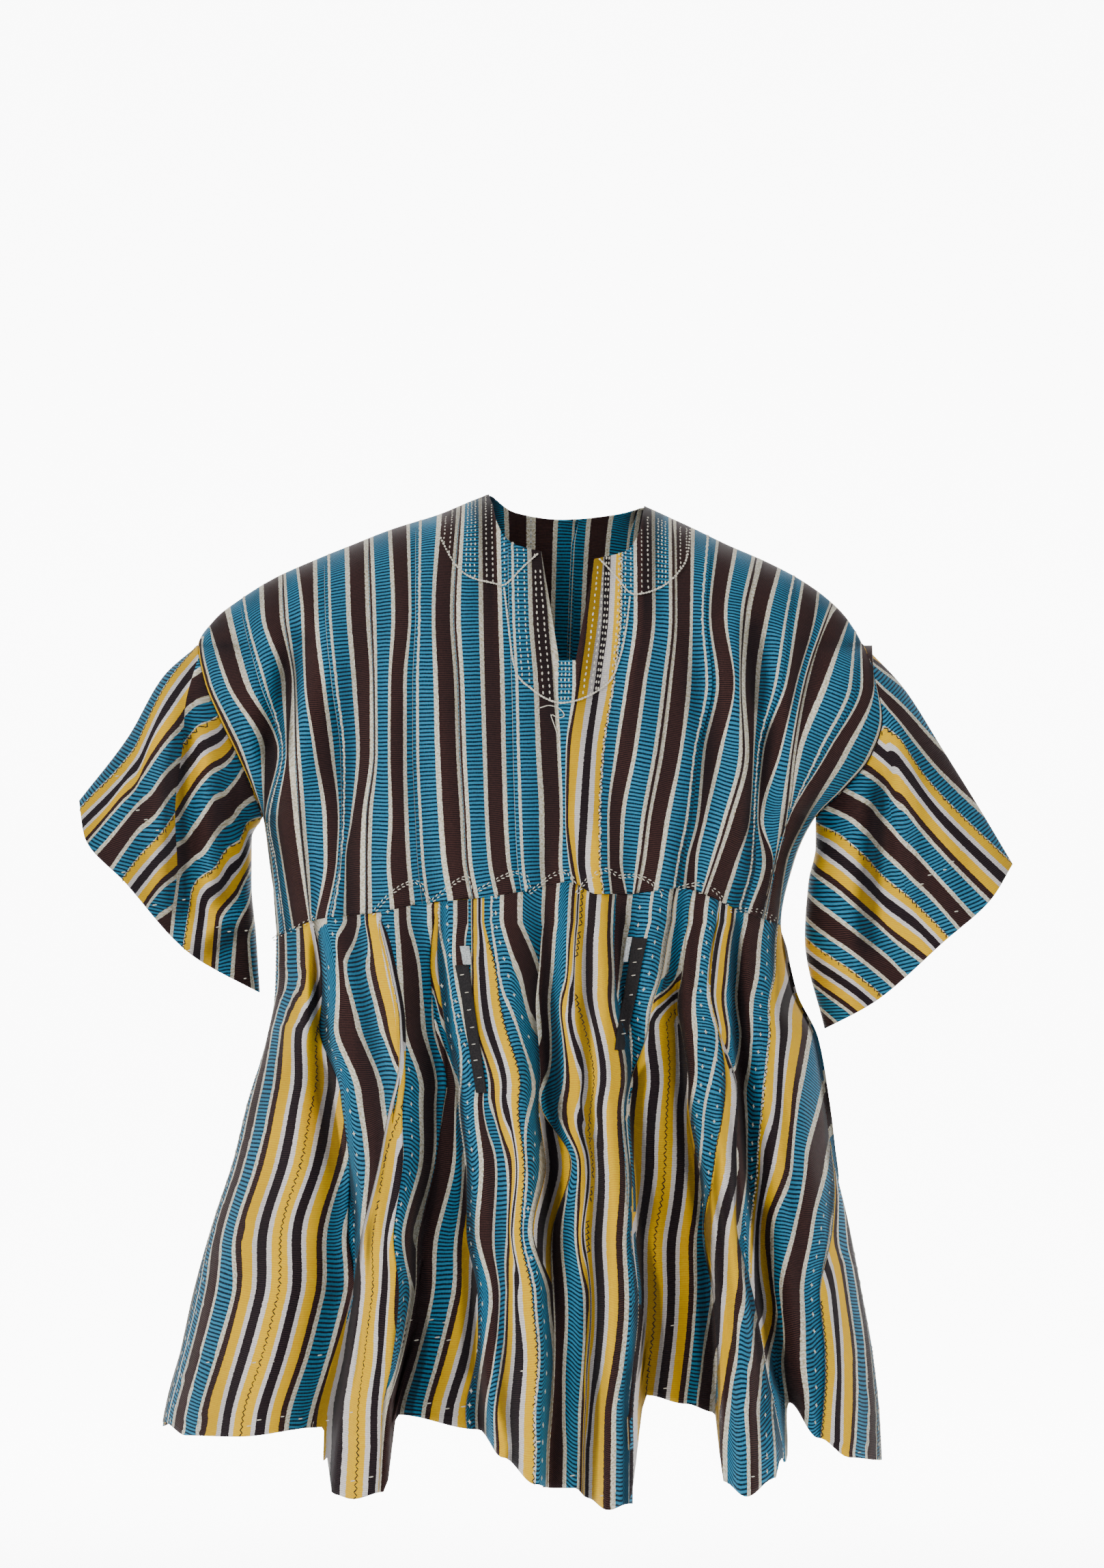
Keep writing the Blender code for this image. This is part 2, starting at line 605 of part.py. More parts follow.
def sleeve_surface(name, turn, along):
    """Points of a sleeve by the turn round it, from its upper line over the front, and by
    the share of the way from the armhole to the cuff."""
    lines = SLEEVE_OUTLINES[name]
    side = lines["side"]
    down = (1 - np.cos(turn)) / 2
    armhole_height = SHOULDER_END + (UNDERARM - SHOULDER_END) * down
    armhole = np.stack((outline(side, armhole_height), armhole_height), axis=-1)
    slope = (outline(side, armhole_height + 1) - outline(side, armhole_height - 1)) / 2
    gap = side * (ARMHOLE_GAP + UNDERARM_GAP * ease((down - 0.6) / 0.4)) / np.hypot(1, slope)
    cuff = polyline(lines["cuff"], down)
    ends = [np.array(lines[key][end], float) for key, end in
            (("top", 0), ("low", 0), ("top", -1), ("low", -1))]
    swing = np.sin(turn)
    points = np.zeros((len(along), len(turn), 3))
    for k, t in enumerate(along):
        top = polyline(lines["top"], np.array([t]))[0]
        low = polyline(lines["low"], np.array([t]))[0]
        upper = (1 - t) * ends[0] + t * ends[2]
        lower = (1 - t) * ends[1] + t * ends[3]
        flat = (1 - t) * armhole + t * cuff
        flat += (1 - down)[:, None] * (top - upper) + down[:, None] * (low - lower)
        half_depth = ARM_HALF_DEPTH + (CUFF_HALF_DEPTH - ARM_HALF_DEPTH) * t
        rise = creases(SLEEVE_CREASES[name], flat[:, 0], flat[:, 1])
        rise = rise * ease(t / 0.25) * np.where(swing > 0, 1.0, 0.6)
        depth = (half_depth + rise) * swing
        real = seen_to_real(flat[:, 0], flat[:, 1], np.maximum(depth, 0.0))
        points[k] = np.stack((real[:, 0] + gap, -depth, real[:, 2] - gap * slope), axis=-1)
    return points


def sleeve_grid(name):
    """Points of a whole sleeve, a closed ring at each step along."""
    turn = np.linspace(0.0, 2 * math.pi, SLEEVE_STEPS_ROUND + 1)[:-1]
    along = np.linspace(0.0, 1.0, SLEEVE_STEPS_ALONG + 1)
    return sleeve_surface(name, turn, along)


def share_down(place, height):
    """Share of the way from the gather line to the hem at a place and height of the skirt."""
    row = int(place)
    share = place - row
    before, after = SKIRT_FOLDS[row], SKIRT_FOLDS[row + 1]
    top = float(gather_height(before[0] + (after[0] - before[0]) * share)) - GATHER_GAP / 2
    hem = before[6] + (after[6] - before[6]) * float(ease(share))
    return (height - top) / (hem - top)


def laid_strip_grid(path, lift):
    """Points of a narrow strip that lies on the front skirt: points of the skirt's own
    cells, moved out along the cloth's normal."""
    place_top, height_top, place_foot, height_foot, covered = path
    skirt = front_skirt_grid()
    outward = np.cross(np.gradient(skirt, axis=1), np.gradient(skirt, axis=0))
    outward /= np.linalg.norm(outward, axis=2)[:, :, None]
    lines = skirt_places()
    points = np.zeros((STRIP_STEPS_ACROSS + 1, STRIP_STEPS_DOWN + 1, 3))
    for j in range(STRIP_STEPS_DOWN + 1):
        t = j / STRIP_STEPS_DOWN
        middle = place_top + (place_foot - place_top) * t
        down = share_down(middle, height_top + (height_foot - height_top) * t)
        for i in range(STRIP_STEPS_ACROSS + 1):
            place = middle + covered * (i / STRIP_STEPS_ACROSS - 0.5)
            cell = int(np.searchsorted(lines, place, side="right")) - 1
            a = (place - lines[cell]) / (lines[cell + 1] - lines[cell])
            step = int(down * SKIRT_STEPS_DOWN)
            b = down * SKIRT_STEPS_DOWN - step
            corners = ((cell, step, (1 - a) * (1 - b)), (cell + 1, step, a * (1 - b)),
                       (cell, step + 1, (1 - a) * b), (cell + 1, step + 1, a * b))
            points[i, j] = sum(share * (skirt[m, n] + outward[m, n] * lift)
                               for m, n, share in corners)
    return points


def mesh_from_grid(name, grid, closed=False):
    """A cloth piece as one open sheet of quads, in metres."""
    count, steps = grid.shape[0], grid.shape[1]
    points = (grid.reshape(-1, 3) * MM).tolist()
    faces = []
    for i in range(count if closed == "across" else count - 1):
        for j in range(steps if closed == "along" else steps - 1):
            a, b = i, (i + 1) % count
            c, d = j, (j + 1) % steps
            faces.append((a * steps + c, a * steps + d, b * steps + d, b * steps + c))
    mesh = bpy.data.meshes.new(name)
    mesh.from_pydata(points, [], faces)
    mesh.shade_smooth()
    return mesh


def cloth_material(name):
    """The plain cloth colour of one piece."""
    colour, roughness = CLOTH[name]
    material = bpy.data.materials.new(name + "_cloth")
    material.use_nodes = True
    shader = material.node_tree.nodes["Principled BSDF"]
    shader.inputs["Base Color"].default_value = (*colour, 1.0)
    shader.inputs["Roughness"].default_value = roughness
    shader.inputs["Metallic"].default_value = 0.0
    return material


def add_piece(collection, name, grid, closed=False, wall=WALL, offset=0.0):
    """One sewn piece: its sheet, given the cloth's thickness."""
    piece = bpy.data.objects.new(name, mesh_from_grid(name, grid, closed))
    piece.data.materials.append(cloth_material(name))
    solid = piece.modifiers.new("cloth_thickness", "SOLIDIFY")
    solid.thickness = wall * MM
    solid.offset = offset
    solid.use_even_offset = False
    collection.objects.link(piece)
    return piece


def main():
    for old in list(bpy.data.objects):
        bpy.data.objects.remove(old, do_unlink=True)
    collection = bpy.data.collections.new("fugu_smock")
    bpy.context.scene.collection.children.link(collection)

    add_piece(collection, "front_bodice", front_bodice_grid())
    add_piece(collection, "back_bodice", back_bodice_grid()[::-1])
    add_piece(collection, "front_skirt", front_skirt_grid())
    add_piece(collection, "back_skirt", back_skirt_grid()[::-1])
    for name in SLEEVE_OUTLINES:
        grid = sleeve_grid(name)
        if name == "sleeve_right":
            grid = grid[::-1]
        add_piece(collection, name, grid, closed="along")
    lift = WALL / 2 + LAID_ON_GAP + STRIP_WALL / 2
    for name, path in (POCKET_EDGES | POCKET_LININGS).items():
        add_piece(collection, name, laid_strip_grid(path, lift), wall=STRIP_WALL)


main()
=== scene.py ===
"""The looks of a worn fugu smock: handwoven striped strips sewn side by side.

Each sewn piece is a thin striped cloth on the form of its CAD solid. A striped cloth is a row
of columns of points, and each cell between two columns knows its place on the loom: u across
the strip, in millimetres of the stripe chart, and v along it. Tables are in millimetres as a
viewer straight in front sees them, or in the photograph's own pixels where they say so.
"""

import math

import bpy
import numpy as np
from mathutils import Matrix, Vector

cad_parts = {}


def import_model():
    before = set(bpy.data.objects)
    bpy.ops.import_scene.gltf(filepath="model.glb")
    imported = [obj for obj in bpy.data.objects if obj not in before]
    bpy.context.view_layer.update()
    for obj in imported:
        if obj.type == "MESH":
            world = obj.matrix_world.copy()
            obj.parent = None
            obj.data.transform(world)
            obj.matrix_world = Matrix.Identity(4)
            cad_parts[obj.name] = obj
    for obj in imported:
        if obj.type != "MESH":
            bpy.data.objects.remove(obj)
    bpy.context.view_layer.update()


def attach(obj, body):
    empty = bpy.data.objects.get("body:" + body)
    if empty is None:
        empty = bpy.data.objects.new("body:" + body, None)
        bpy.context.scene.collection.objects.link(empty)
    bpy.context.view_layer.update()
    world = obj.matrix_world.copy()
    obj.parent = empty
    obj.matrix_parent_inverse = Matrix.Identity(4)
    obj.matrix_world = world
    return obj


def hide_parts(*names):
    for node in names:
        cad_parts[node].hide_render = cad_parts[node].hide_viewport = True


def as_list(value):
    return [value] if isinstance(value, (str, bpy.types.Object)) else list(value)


MM = 0.001

# The photograph's frame: pixels to one millimetre, and the pixel of the neck's middle
PIXELS_PER_MM = 1.79
NECK_PIXEL_X = 834.0
NECK_PIXEL_Y = 727.0

# Cloth
CLOTH_WALL = 1.0        # thickness of the cloth as it is shown
SEAM_GAP = 0.6          # space left between two sewn pieces
GATHER_GAP = 0.2        # the same at the gather line
ARMHOLE_GAP = 0.7       # the same round an armhole
UNDERARM_GAP = 1.0      # more room where sleeve and side seam part under the arm

# The viewer in front who sees the tables' places
VIEW_DISTANCE = 2400.0
VIEW_X = -14.0
VIEW_Z = -235.0

# How round a level section of the body is: 2 is an ellipse
ROUNDNESS = 2.3

# Level sections of bodice and skirt: the outline's left and right, and the depth of the
# front and of the back, each measured from the plane of the shoulders
# Columns: height, left, right, front, back
SECTIONS = (
    (2, -65, 46, 18, 18),
    (-6, -85, 58, 46, 44),
    (-14, -104, 75, 60, 56),
    (-27, -145, 103, 72, 68),
    (-40, -178, 130, 81, 76),
    (-53, -210, 160, 88, 83),
    (-67, -241, 187, 94, 89),
    (-83, -267, 210, 99, 94),
    (-100, -289, 227, 104, 98),
    (-122, -303, 240, 108, 102),
    (-150, -298, 250, 114, 106),
    (-182, -285, 256, 119, 109),
    (-213, -270, 246, 124, 112),
    (-238, -259, 225, 127, 114),
    (-262, -250, 201, 130, 115),
    (-298, -245, 184, 132, 116),
    (-350, -239, 173, 135, 117),
    (-404, -240, 182, 143, 124),
    (-443, -247, 200, 151, 132),
    (-500, -264, 210, 163, 144),
    (-541, -274, 216, 170, 152),
    (-593, -291, 228, 178, 162),
    (-650, -307, 239, 186, 172),
    (-700, -318, 248, 192, 181),
    (-755, -332, 254, 198, 190),
    (-830, -340, 257, 206, 200),
)

# Height of the gather line along the front and along the back
GATHER_FRONT = ((-240, -360), (-202, -345), (-162, -341), (-115, -332), (-80, -329),
                (-38, -323), (1, -315), (22, -325), (49, -325), (89, -320), (139, -338),
                (174, -351))
GATHER_BACK = ((-240, -360), (-150, -338), (-30, -330), (100, -336), (174, -351))
GATHER_REACH = 70.0     # height above the gather line where the bodice starts to ripple

# Upper edge of the back at the neck, between the two neck points
BACK_NECK = ((-65, 2), (-45, -9), (-5, -14), (40, -11), (60, -8))

# Folds and creases fade out this far from the side seams
BODICE_FADE = 30.0
SKIRT_FADE = 22.0

# Armholes: each is a loop on the body's outline from the shoulder end to the underarm
SHOULDER_TOP = 2.0
SHOULDER_END = -122.0
UNDERARM = -262.0
ARM_HALF_DEPTH = 60.0
ARM_ROUNDS_FROM = 0.55  # share of the half width where the body starts to round into the arm
# Soft ridges and troughs of the bodice: two ends and a middle point across and down, the
# height above the cloth and the width
# Columns: x0, z0, x1, z1, x2, z2, rise, width
BODICE_CREASES = (
    (-222, -120, -240, -190, -256, -236, -26, 15),
    (-205, -118, -222, -190, -238, -270, 13, 15),
    (-183, -150, -187, -235, -190, -310, -9, 15),
    (-118, -110, -112, -210, -104, -300, 6, 18),
    (-140, -90, -152, -200, -160, -300, 5, 16),
    (150, -110, 160, -190, 152, -290, -17, 13),
    (172, -130, 172, -190, 164, -270, 12, 15),
    (128, -110, 140, -200, 128, -300, 9, 15),
    (97, -120, 112, -215, 100, -305, -7, 13),
    (200, -110, 186, -165, 170, -200, -7, 12),
    (60, -120, 52, -220, 60, -300, 5, 18),
    (0, -150, 6, -230, 14, -312, 3, 16),
)
BACK_CREASES = (
    (-215, -130, -225, -200, -236, -280, -14, 18),
    (-190, -110, -196, -210, -200, -320, 8, 20),
    (-120, -80, -112, -200, -104, -320, -5, 24),
    (-40, -60, -34, -200, -28, -320, 4, 30),
    (60, -80, 56, -200, 48, -320, -5, 26),
    (130, -110, 136, -210, 124, -320, 8, 20),
    (175, -130, 168, -200, 152, -290, -13, 17),
)

# Folds of the front skirt, left to right: where each line runs at the gather line, at four
# levels and at the hem, the hem's height, and how far the line stands proud of the mean
# section (ridges) or behind it (valleys) at the same six places
SKIRT_LEVELS = (-387, -488, -599, -711)
# Columns: gather, at_387, at_488, at_599, at_711, hem, hem_height,
#          out_gather, out_387, out_488, out_599, out_711, out_hem
SKIRT_FOLDS = (
    (-240, -240, -262, -292, -321, -332, -757, 0, 0, 0, 0, 0, 0),
    (-228, -229, -250, -279, -303, -313, -768, 0, 5, 8, 9, 8, 8),
    (-216, -215, -224, -240, -262, -272, -769, 2, 9, 10, 10, 10, 10),
    (-208, -206, -197, -176, -187, -201, -761, 0, -12, -24, -32, -40, -42),
    (-200, -196, -182, -166, -178, -193, -816, 3, 10, 10, 10, 14, 16),
    (-181, -175, -161, -156, -165, -177, -820, -3, 4, 8, 22, 30, 32),
    (-160, -152, -137, -142, -147, -151, -814, 4, 13, 22, 26, 24, 22),
    (-127, -110, -106, -116, -134, -141, -751, -1, -12, -22, -34, -44, -46),
    (-112, -104, -94, -84, -79, -74, -763, 0, -10, -26, -36, -42, -44),
    (-98, -97, -84, -72, -66, -54, -786, 4, 9, 6, 0, -4, -6),
    (-56, -54, -42, -33, -26, -27, -808, 4, 14, 20, 26, 30, 32),
    (-22, -19, -13, -14, -10, -14, -811, 0, -13, -24, -22, -2, 0),
    (-10, -7, 2, 4, 6, 5, -811, 3, 2, 0, 2, 4, 4),
    (9, 12, 12, 18, 19, 15, -819, 2, 4, 2, 4, 6, 6),
    (20, 26, 31, 38, 35, 32, -829, 7, 19, 27, 32, 36, 38),
    (33, 35, 42, 49, 50, 48, -824, 2, 9, 16, 20, 22, 22),
    (44, 44, 51, 60, 62, 63, -735, -1, -4, -20, -36, -44, -46),
    (73, 65, 66, 84, 92, 95, -742, 5, 10, -18, -40, -48, -49),
    (92, 86, 92, 110, 116, 119, -749, -2, -14, -28, -38, -44, -44),
    (99, 97, 104, 121, 128, 127, -806, 1, 4, 8, 8, 8, 8),
    (115, 112, 121, 132, 143, 145, -818, 6, 14, 24, 29, 33, 34),
    (127, 127, 133, 143, 158, 168, -803, 2, 5, 9, 13, 16, 16),
    (137, 136, 141, 152, 166, 180, -741, 0, -13, -26, -30, -32, -30),
    (147, 146, 163, 177, 193, 204, -770, 3, 5, 4, 2, 0, -2),
    (160, 165, 186, 203, 222, 230, -786, 4, 10, 12, 12, 12, 12),
    (174, 180, 207, 228, 250, 254, -788, 0, 0, 0, 0, 0, 0),
)

# Folds of the back skirt by their place round the back, from the left side seam (0) to the
# right one (1), with how far each stands out at the gather line, half way and at the hem
# Columns: round, out_gather, out_half, out_hem, hem_height
BACK_FOLDS = (
    (0.00, 0, 0, 0, -757),
    (0.07, 2, 8, 14, -770),
    (0.15, -2, -16, -26, -752),
    (0.23, 4, 16, 28, -776),
    (0.31, -2, -18, -30, -754),
    (0.39, 4, 14, 26, -778),
    (0.46, -1, -12, -24, -760),
    (0.53, 4, 18, 30, -782),
    (0.61, -2, -16, -28, -758),
    (0.69, 4, 15, 26, -778),
    (0.77, -2, -18, -28, -756),
    (0.85, 4, 14, 26, -780),
    (0.93, -1, -10, -16, -776),
    (1.00, 0, 0, 0, -788),
)

# Sleeves: the upper line from the shoulder end to the cuff, the lower line from the
# underarm to the cuff, and the cuff between the two, all as seen from the front
SLEEVE_OUTLINES = {
    "sleeve_left": {
        "side": -1,
        "top": ((-303, -122), (-330, -146), (-360, -197), (-400, -249)),
        "low": ((-250, -262), (-259, -280), (-259, -315), (-255, -360), (-252, -405)),
        "cuff": ((-400, -249), (-396, -277), (-362, -316), (-310, -373), (-252, -405)),
    },
    "sleeve_right": {
        "side": 1,
        "top": ((240, -122), (272, -156), (304, -206), (337, -259), (362, -301)),
        "low": ((201, -262), (201, -285), (195, -315), (192, -360), (208, -434)),
        "cuff": ((362, -301), (345, -329), (306, -364), (250, -412), (208, -434)),
    },
}
CUFF_HALF_DEPTH = 58.0
SLEEVE_CREASES = {
    "sleeve_left": (
        (-314, -170, -322, -240, -317, -330, 13, 13),
        (-300, -165, -305, -240, -300, -350, -12, 13),
        (-345, -165, -368, -230, -375, -295, -5, 16),
        (-292, -342, -272, -341, -250, -338, -10, 11),
        (-300, -372, -276, -356, -252, -352, 7, 11),
    ),
    "sleeve_right": (
        (256, -178, 272, -240, 264, -345, 13, 13),
        (240, -190, 252, -250, 240, -360, -13, 13),
        (300, -190, 320, -250, 322, -330, -5, 16),
        (216, -262, 214, -330, 224, -420, 8, 13),
    ),
}

# The chart of one loom strip, from its yellow edge to its teal one. Strips are sewn with
# every other one turned round, so the chart runs forward and back again and again.
STRIP_WIDTH = 83.5
# Columns: start across the strip, colour
STRIP_CHART = (
    (0.0, "yellow"), (6.5, "white"), (10.0, "dark"), (17.0, "white"), (20.5, "yellow"),
    (28.3, "brown"), (32.8, "cream"), (36.2, "teal"), (50.2, "cream"), (53.5, "brown"),
    (67.5, "cream"), (70.8, "teal"), (82.3, "cream"),
)

# Stripe lines of the front bodice in photograph pixels, left to right: the place on the loom
# before and after the line, and where the line starts on the upper edge, runs at four
# levels and meets the gather line. Where before and after differ, a tuck hides what lies
# between. A start height is given only where it isn't on the upper edge.
BODICE_LEVELS_Y = (900, 1000, 1100, 1200, 1260)
# Columns: before, after, start, at_900, at_1000, at_1100, at_1200, at_1260, gather
BODICE_STRIPES = (
    (53.5, 53.5, 308, 308, 336, 388, 388, 397, 406),
    (67.5, 67.5, 330, 330, 358, 408, 389, 398, 407),
    (77.5, 86.8, 352, 356, 382, 414, 393, 403, 417),
    (67.5, 67.5, 387, 389, 419, 421, 408, 416, 432),
    (53.5, 53.5, 409, 411, 429, 424, 432, 440, 454),
    (50.2, 31.3, 414, 417, 432, 434, 440, 446, 456),
    (53.5, 53.5, 438, 446, 449, 463, 479, 480, 464),
    (67.5, 67.5, 459, 461, 471, 484, 496, 493, 477),
    (77.5, 86.8, 476, 478, 487, 500, 502, 499, 484),
    (67.5, 67.5, 512, 515, 523, 528, 517, 508, 508),
    (53.5, 53.5, 534, 537, 543, 543, 531, 529, 529),
    (50.2, 31.3, 540, 544, 548, 549, 538, 537, 537),
    (53.5, 53.5, 574, 579, 573, 572, 575, 572, 578),
    (67.5, 67.5, 596, 599, 591, 591, 593, 596, 602),
    (77.5, 86.8, 610, 610, 606, 606, 610, 613, 620),
    (67.5, 67.5, 648, 638, 642, 645, 650, 655, 665),
    (53.5, 53.5, 670, 660, 666, 669, 675, 678, 688),
    (50.2, 31.3, 675, 666, 672, 675, 681, 684, 694),
    (53.5, 53.5, 706, 708, 710, 713, 716, 720, 730),
    (67.5, 67.5, 727, 730, 733, 735, 738, 742, 752),
    (77.5, 86.8, 745, 747, 751, 753, 756, 759, 765),
    (67.5, 67.5, 779, 781, 789, 793, 798, 798, 800),
    (53.5, 53.5, 793, 803, 811, 817, 821, 819, 822),
    (50.2, 50.2, 819, 819, 818, 822, 825, 824, 827),
    (32.8, 32.8, 844, 844, 844, 831, 829.5, 835, 841),
    (28.3, 28.3, 871, 862, 850, 836, 833, 840, 846),
    (20.5, 20.5, 884, 877, 863, 849, 842, 845, 851),
    (17.0, 17.0, 886, 883, 872, 857, 850, 847, 853),
    (10.0, 10.0, 895, 892, 880, 867, 861, 858, 864),
    (6.5, 6.5, 903, 899.5, 891, 874, 869, 865, 871),
    (0.0, 83.5, 911, 909.5, 899, 884, 879, 879, 884),
    (67.5, 67.5, 933, 934, 921, 906, 893, 893, 897),
    (53.5, 53.5, 955, 956, 942, 928, 910, 908, 917),
    (31.3, 50.2, 986, 987, 978, 965, 947, 939, 930),
    (53.5, 53.5, 990, 992, 984, 972, 953, 946, 936),
    (67.5, 67.5, 1012, 1011, 1006, 995, 974, 965, 957),
    (86.8, 77.5, 1042, 1033, 1042, 1022, 1012, 999, 993),
    (67.5, 67.5, 1053, 1042, 1054, 1034, 1024, 1009, 1005),
    (53.5, 53.5, 1075, 1061, 1075, 1054, 1031, 1019, 1018),
    (31.3, 50.2, 1109, 1091, 1085, 1090, 1066, 1047, 1030),
    (53.5, 53.5, 1117, 1099, 1091, 1097, 1073, 1053, 1035),
    (67.5, 67.5, 1139, 1121, 1106, 1103, 1097, 1077, 1057),
    (86.8, 77.5, 1168, 1158, 1143, 1112, 1106, 1106, 1088),
    (67.5, 67.5, 1178, 1170, 1153, 1120, 1111, 1122, 1098),
    (53.5, 53.5, 1197, 1193, 1166, 1143, 1114, 1132, 1116),
    (31.3, 50.2, 1220, 1213, 1179, 1161, 1150, 1135, 1117),
    (53.5, 53.5, 1226, 1218, 1184, 1166, 1154, 1137, 1119),
    (67.5, 67.5, 1241, 1240, 1205, 1168, 1154.5, 1137.5, 1120),
    (86.8, 77.5, 1256, 1262, 1254, 1207, 1154.7, 1137.7, 1121),
    (67.5, 67.5, 1262, 1268, 1264, 1214, 1155, 1138, 1122),
    (53.5, 53.5, 1278, 1284, 1280, 1236, 1178, 1151, 1138),
)
FIRST_STRIPE_PLACE = 24.0       # place on the loom at the left armhole
LAST_STRIPE_PLACE = 30.0        # and at the right one
SLIT_LINES = (23, 24)           # rows of the table that start at the foot of the neck slit
SLIT_FOOT = -134.0
MIDDLE_LINE = 24                # tucks left of this row face left, and right of it right

# Upper edge of the front at the neck
NECK_EDGE = ((-65, 2), (-58, -27), (-51, -35), (-43, -40), (-23, -45), (21, -51), (40, -47),
             (50, -43), (59, -27), (60, 2))

# How a tuck folds the cloth: shares of its depth across and of its height out
TUCK_PROFILE = ((0.0, 1.0), (-0.18, 0.5), (0.0, 0.0), (1.0, -0.1), (1.1, -0.5), (1.0, -1.0),
                (0.0, -1.0))
TUCK_DEPTH = 3.2
TUCK_REACH = 11.0       # the cloth beside a tuck rises to it over about this width
BODICE_TUCK = 1.3       # half height of a tuck
TUCK_SHOWN = 1.2        # how far the place on the loom goes on into a tuck, and back
BODICE_CELL = 4.0       # wanted width of a cell
SKIRT_CELL = 2.8
TURN_STEPS = 22         # steps in which the turn of the skirt's sides is measured
TURNED_FROM = 2.0       # cloth this much longer than what is seen of it counts as turned away
TURNED_CLOTH = 0.8      # and this share of its length carries stripes
BODICE_ROWS = 84
SKIRT_ROWS = 96
CROWDING = 1.5          # above 1 the cells are shorter over the shoulders
SIDE_CROWDING = 1.5     # and narrower towards the side edges
RIB_CROWDING = (0.86, 1.14)     # least and most length of cloth to a millimetre of a column
TUCK_FADE = 22.0        # a tuck grows to its full height over this way down

# Strips of the back bodice from the middle outwards: u at both ends, then a tuck
BACK_STRIP = [(50.2, 86.8, True), (77.5, 31.3, True)]
BACK_HALF_WIDTH = 240.0
# Way round the back skirt at the gather line and at the hem, and its cloth's whole width
BACK_GATHER_ROUND = 470.0
BACK_HEM_ROUND = 800.0
BACK_CLOTH = 835.0

# Stripes of the sleeves. At some shares of the way from armhole to cuff: where the fold
# edge runs, as the share down the sleeve's front, and the cloth above and below it as
# pairs of the share down and the place on the loom. Sleeve strips all lie the same way.
# Columns: share_along, fold, above, below
SLEEVE_STRIPES = {
    "sleeve_left": (
        (0.0, 0.07, ((0, 0), (0.07, 9)),
         ((0.07, 44), (0.15, 53.5), (0.29, 67.5), (0.41, 83.5), (0.49, 97), (0.58, 111.8),
          (0.72, 137), (0.865, 151), (1.0, 167))),
        (0.25, 0.34, ((0, -8), (0.06, 0), (0.15, 13.5), (0.24, 28.3), (0.34, 44)),
         ((0.34, 83), (0.425, 97), (0.505, 111.8), (0.65, 137), (0.76, 151), (0.89, 167),
          (1.0, 195))),
        (0.5, 0.43, ((0, -10), (0.085, 0), (0.165, 13.5), (0.195, 28.3), (0.305, 53.5),
                     (0.37, 67.5), (0.43, 80)),
         ((0.43, 110), (0.44, 111.8), (0.56, 137), (0.65, 151), (0.755, 167), (0.89, 195),
          (0.98, 220), (1.0, 228))),
        (0.75, 0.555, ((0, -8), (0.06, 0), (0.125, 13.5), (0.165, 28.3), (0.245, 53.5),
                       (0.30, 67.5), (0.385, 83.5), (0.515, 111.8), (0.555, 120)),
         ((0.555, 152), (0.645, 167), (0.785, 195), (0.895, 220), (0.95, 234.5),
          (1.0, 247))),
        (1.0, 0.597, ((0, -5), (0.03, 0), (0.085, 13.5), (0.14, 28.3), (0.215, 53.5),
                      (0.28, 67.5), (0.34, 83.5), (0.455, 111.8), (0.53, 137), (0.597, 150)),
         ((0.597, 149.5), (0.675, 167), (0.80, 195), (0.89, 220), (0.965, 234.5),
          (1.0, 242))),
    ),
    "sleeve_right": (
        (0.0, 0.55, ((0, -62), (0.22, -30), (0.30, -16), (0.45, -2), (0.5, 0), (0.55, 8)),
         ((0.55, 8), (0.75, 38), (1.0, 80))),
        (1.0, 0.5, ((0, 0), (0.27, 53.5), (0.33, 67.5), (0.39, 83.5), (0.5, 112)),
         ((0.5, 112), (0.62, 137), (0.67, 151), (0.735, 167), (0.95, 220), (1.0, 234.5))),
    ),
}
SLEEVE_ROWS = 60
SLEEVE_CELLS = 30           # cells in each part of a sleeve's front
SLEEVE_ARMHOLE_ROUND = 164.0
SLEEVE_CUFF_ROUND = 235.0

LIT_REACH = 6           # a point is lit by how far it stands out of this many columns
LIT_HEIGHT = 4.0
SQUEEZED = 0.35         # no stitch shows where cloth is squeezed more than this

# Sizes of single stitches: length, width and height
ZIGZAG_STITCH = (4.4, 1.1, 1.0)
SEAM_KNOT = (3.0, 2.3, 1.2)
CROSS_UPRIGHT = (4.4, 1.2, 1.0)
CROSS_LEVEL = (3.6, 1.1, 1.0)
CHAIN_STITCH = (3.3, 2.0, 1.1)
RUNNING_STITCH = (3.3, 1.5, 0.9)
TAIL_THREAD = (2.4, 1.1, 1.0)
GATHER_STITCH = (3.4, 1.0, 0.8)
HEM_DASH = (5.0, 1.2, 0.7)
POCKET_DASH = (4.5, 1.0, 0.8)
CUFF_DASH = (4.5, 1.2, 0.7)

# From one stitch to the next along a line
CHAIN_SPACING = 2.5
RUNNING_SPACING = 5.0
TAIL_SPACING = 1.6
GATHER_SPACING = 4.2
POCKET_LIFT = 3.4       # height of the pocket's stitches above the skirt

# Stitches along the strips' edges
# Columns: place on the loom, repeat, spacing, kind of stitch, thread
BODICE_SEAMS = (
    (0.0, 167.0, 2.6, "zigzag", "black"),
    (83.5, 167.0, 2.9, "bump", "cream"),
)
SKIRT_SEAMS = BODICE_SEAMS + (
    (76.6, 167.0, 12.8, "tick", "cream"),
    (76.6, 167.0, 12.8, "cross tick", "cream"),
    (90.4, 167.0, 12.8, "tick", "cream"),
    (90.4, 167.0, 12.8, "cross tick", "cream"),
)
SLEEVE_SEAMS = (
    (0.0, 83.5, 2.6, "zigzag", "black"),
)

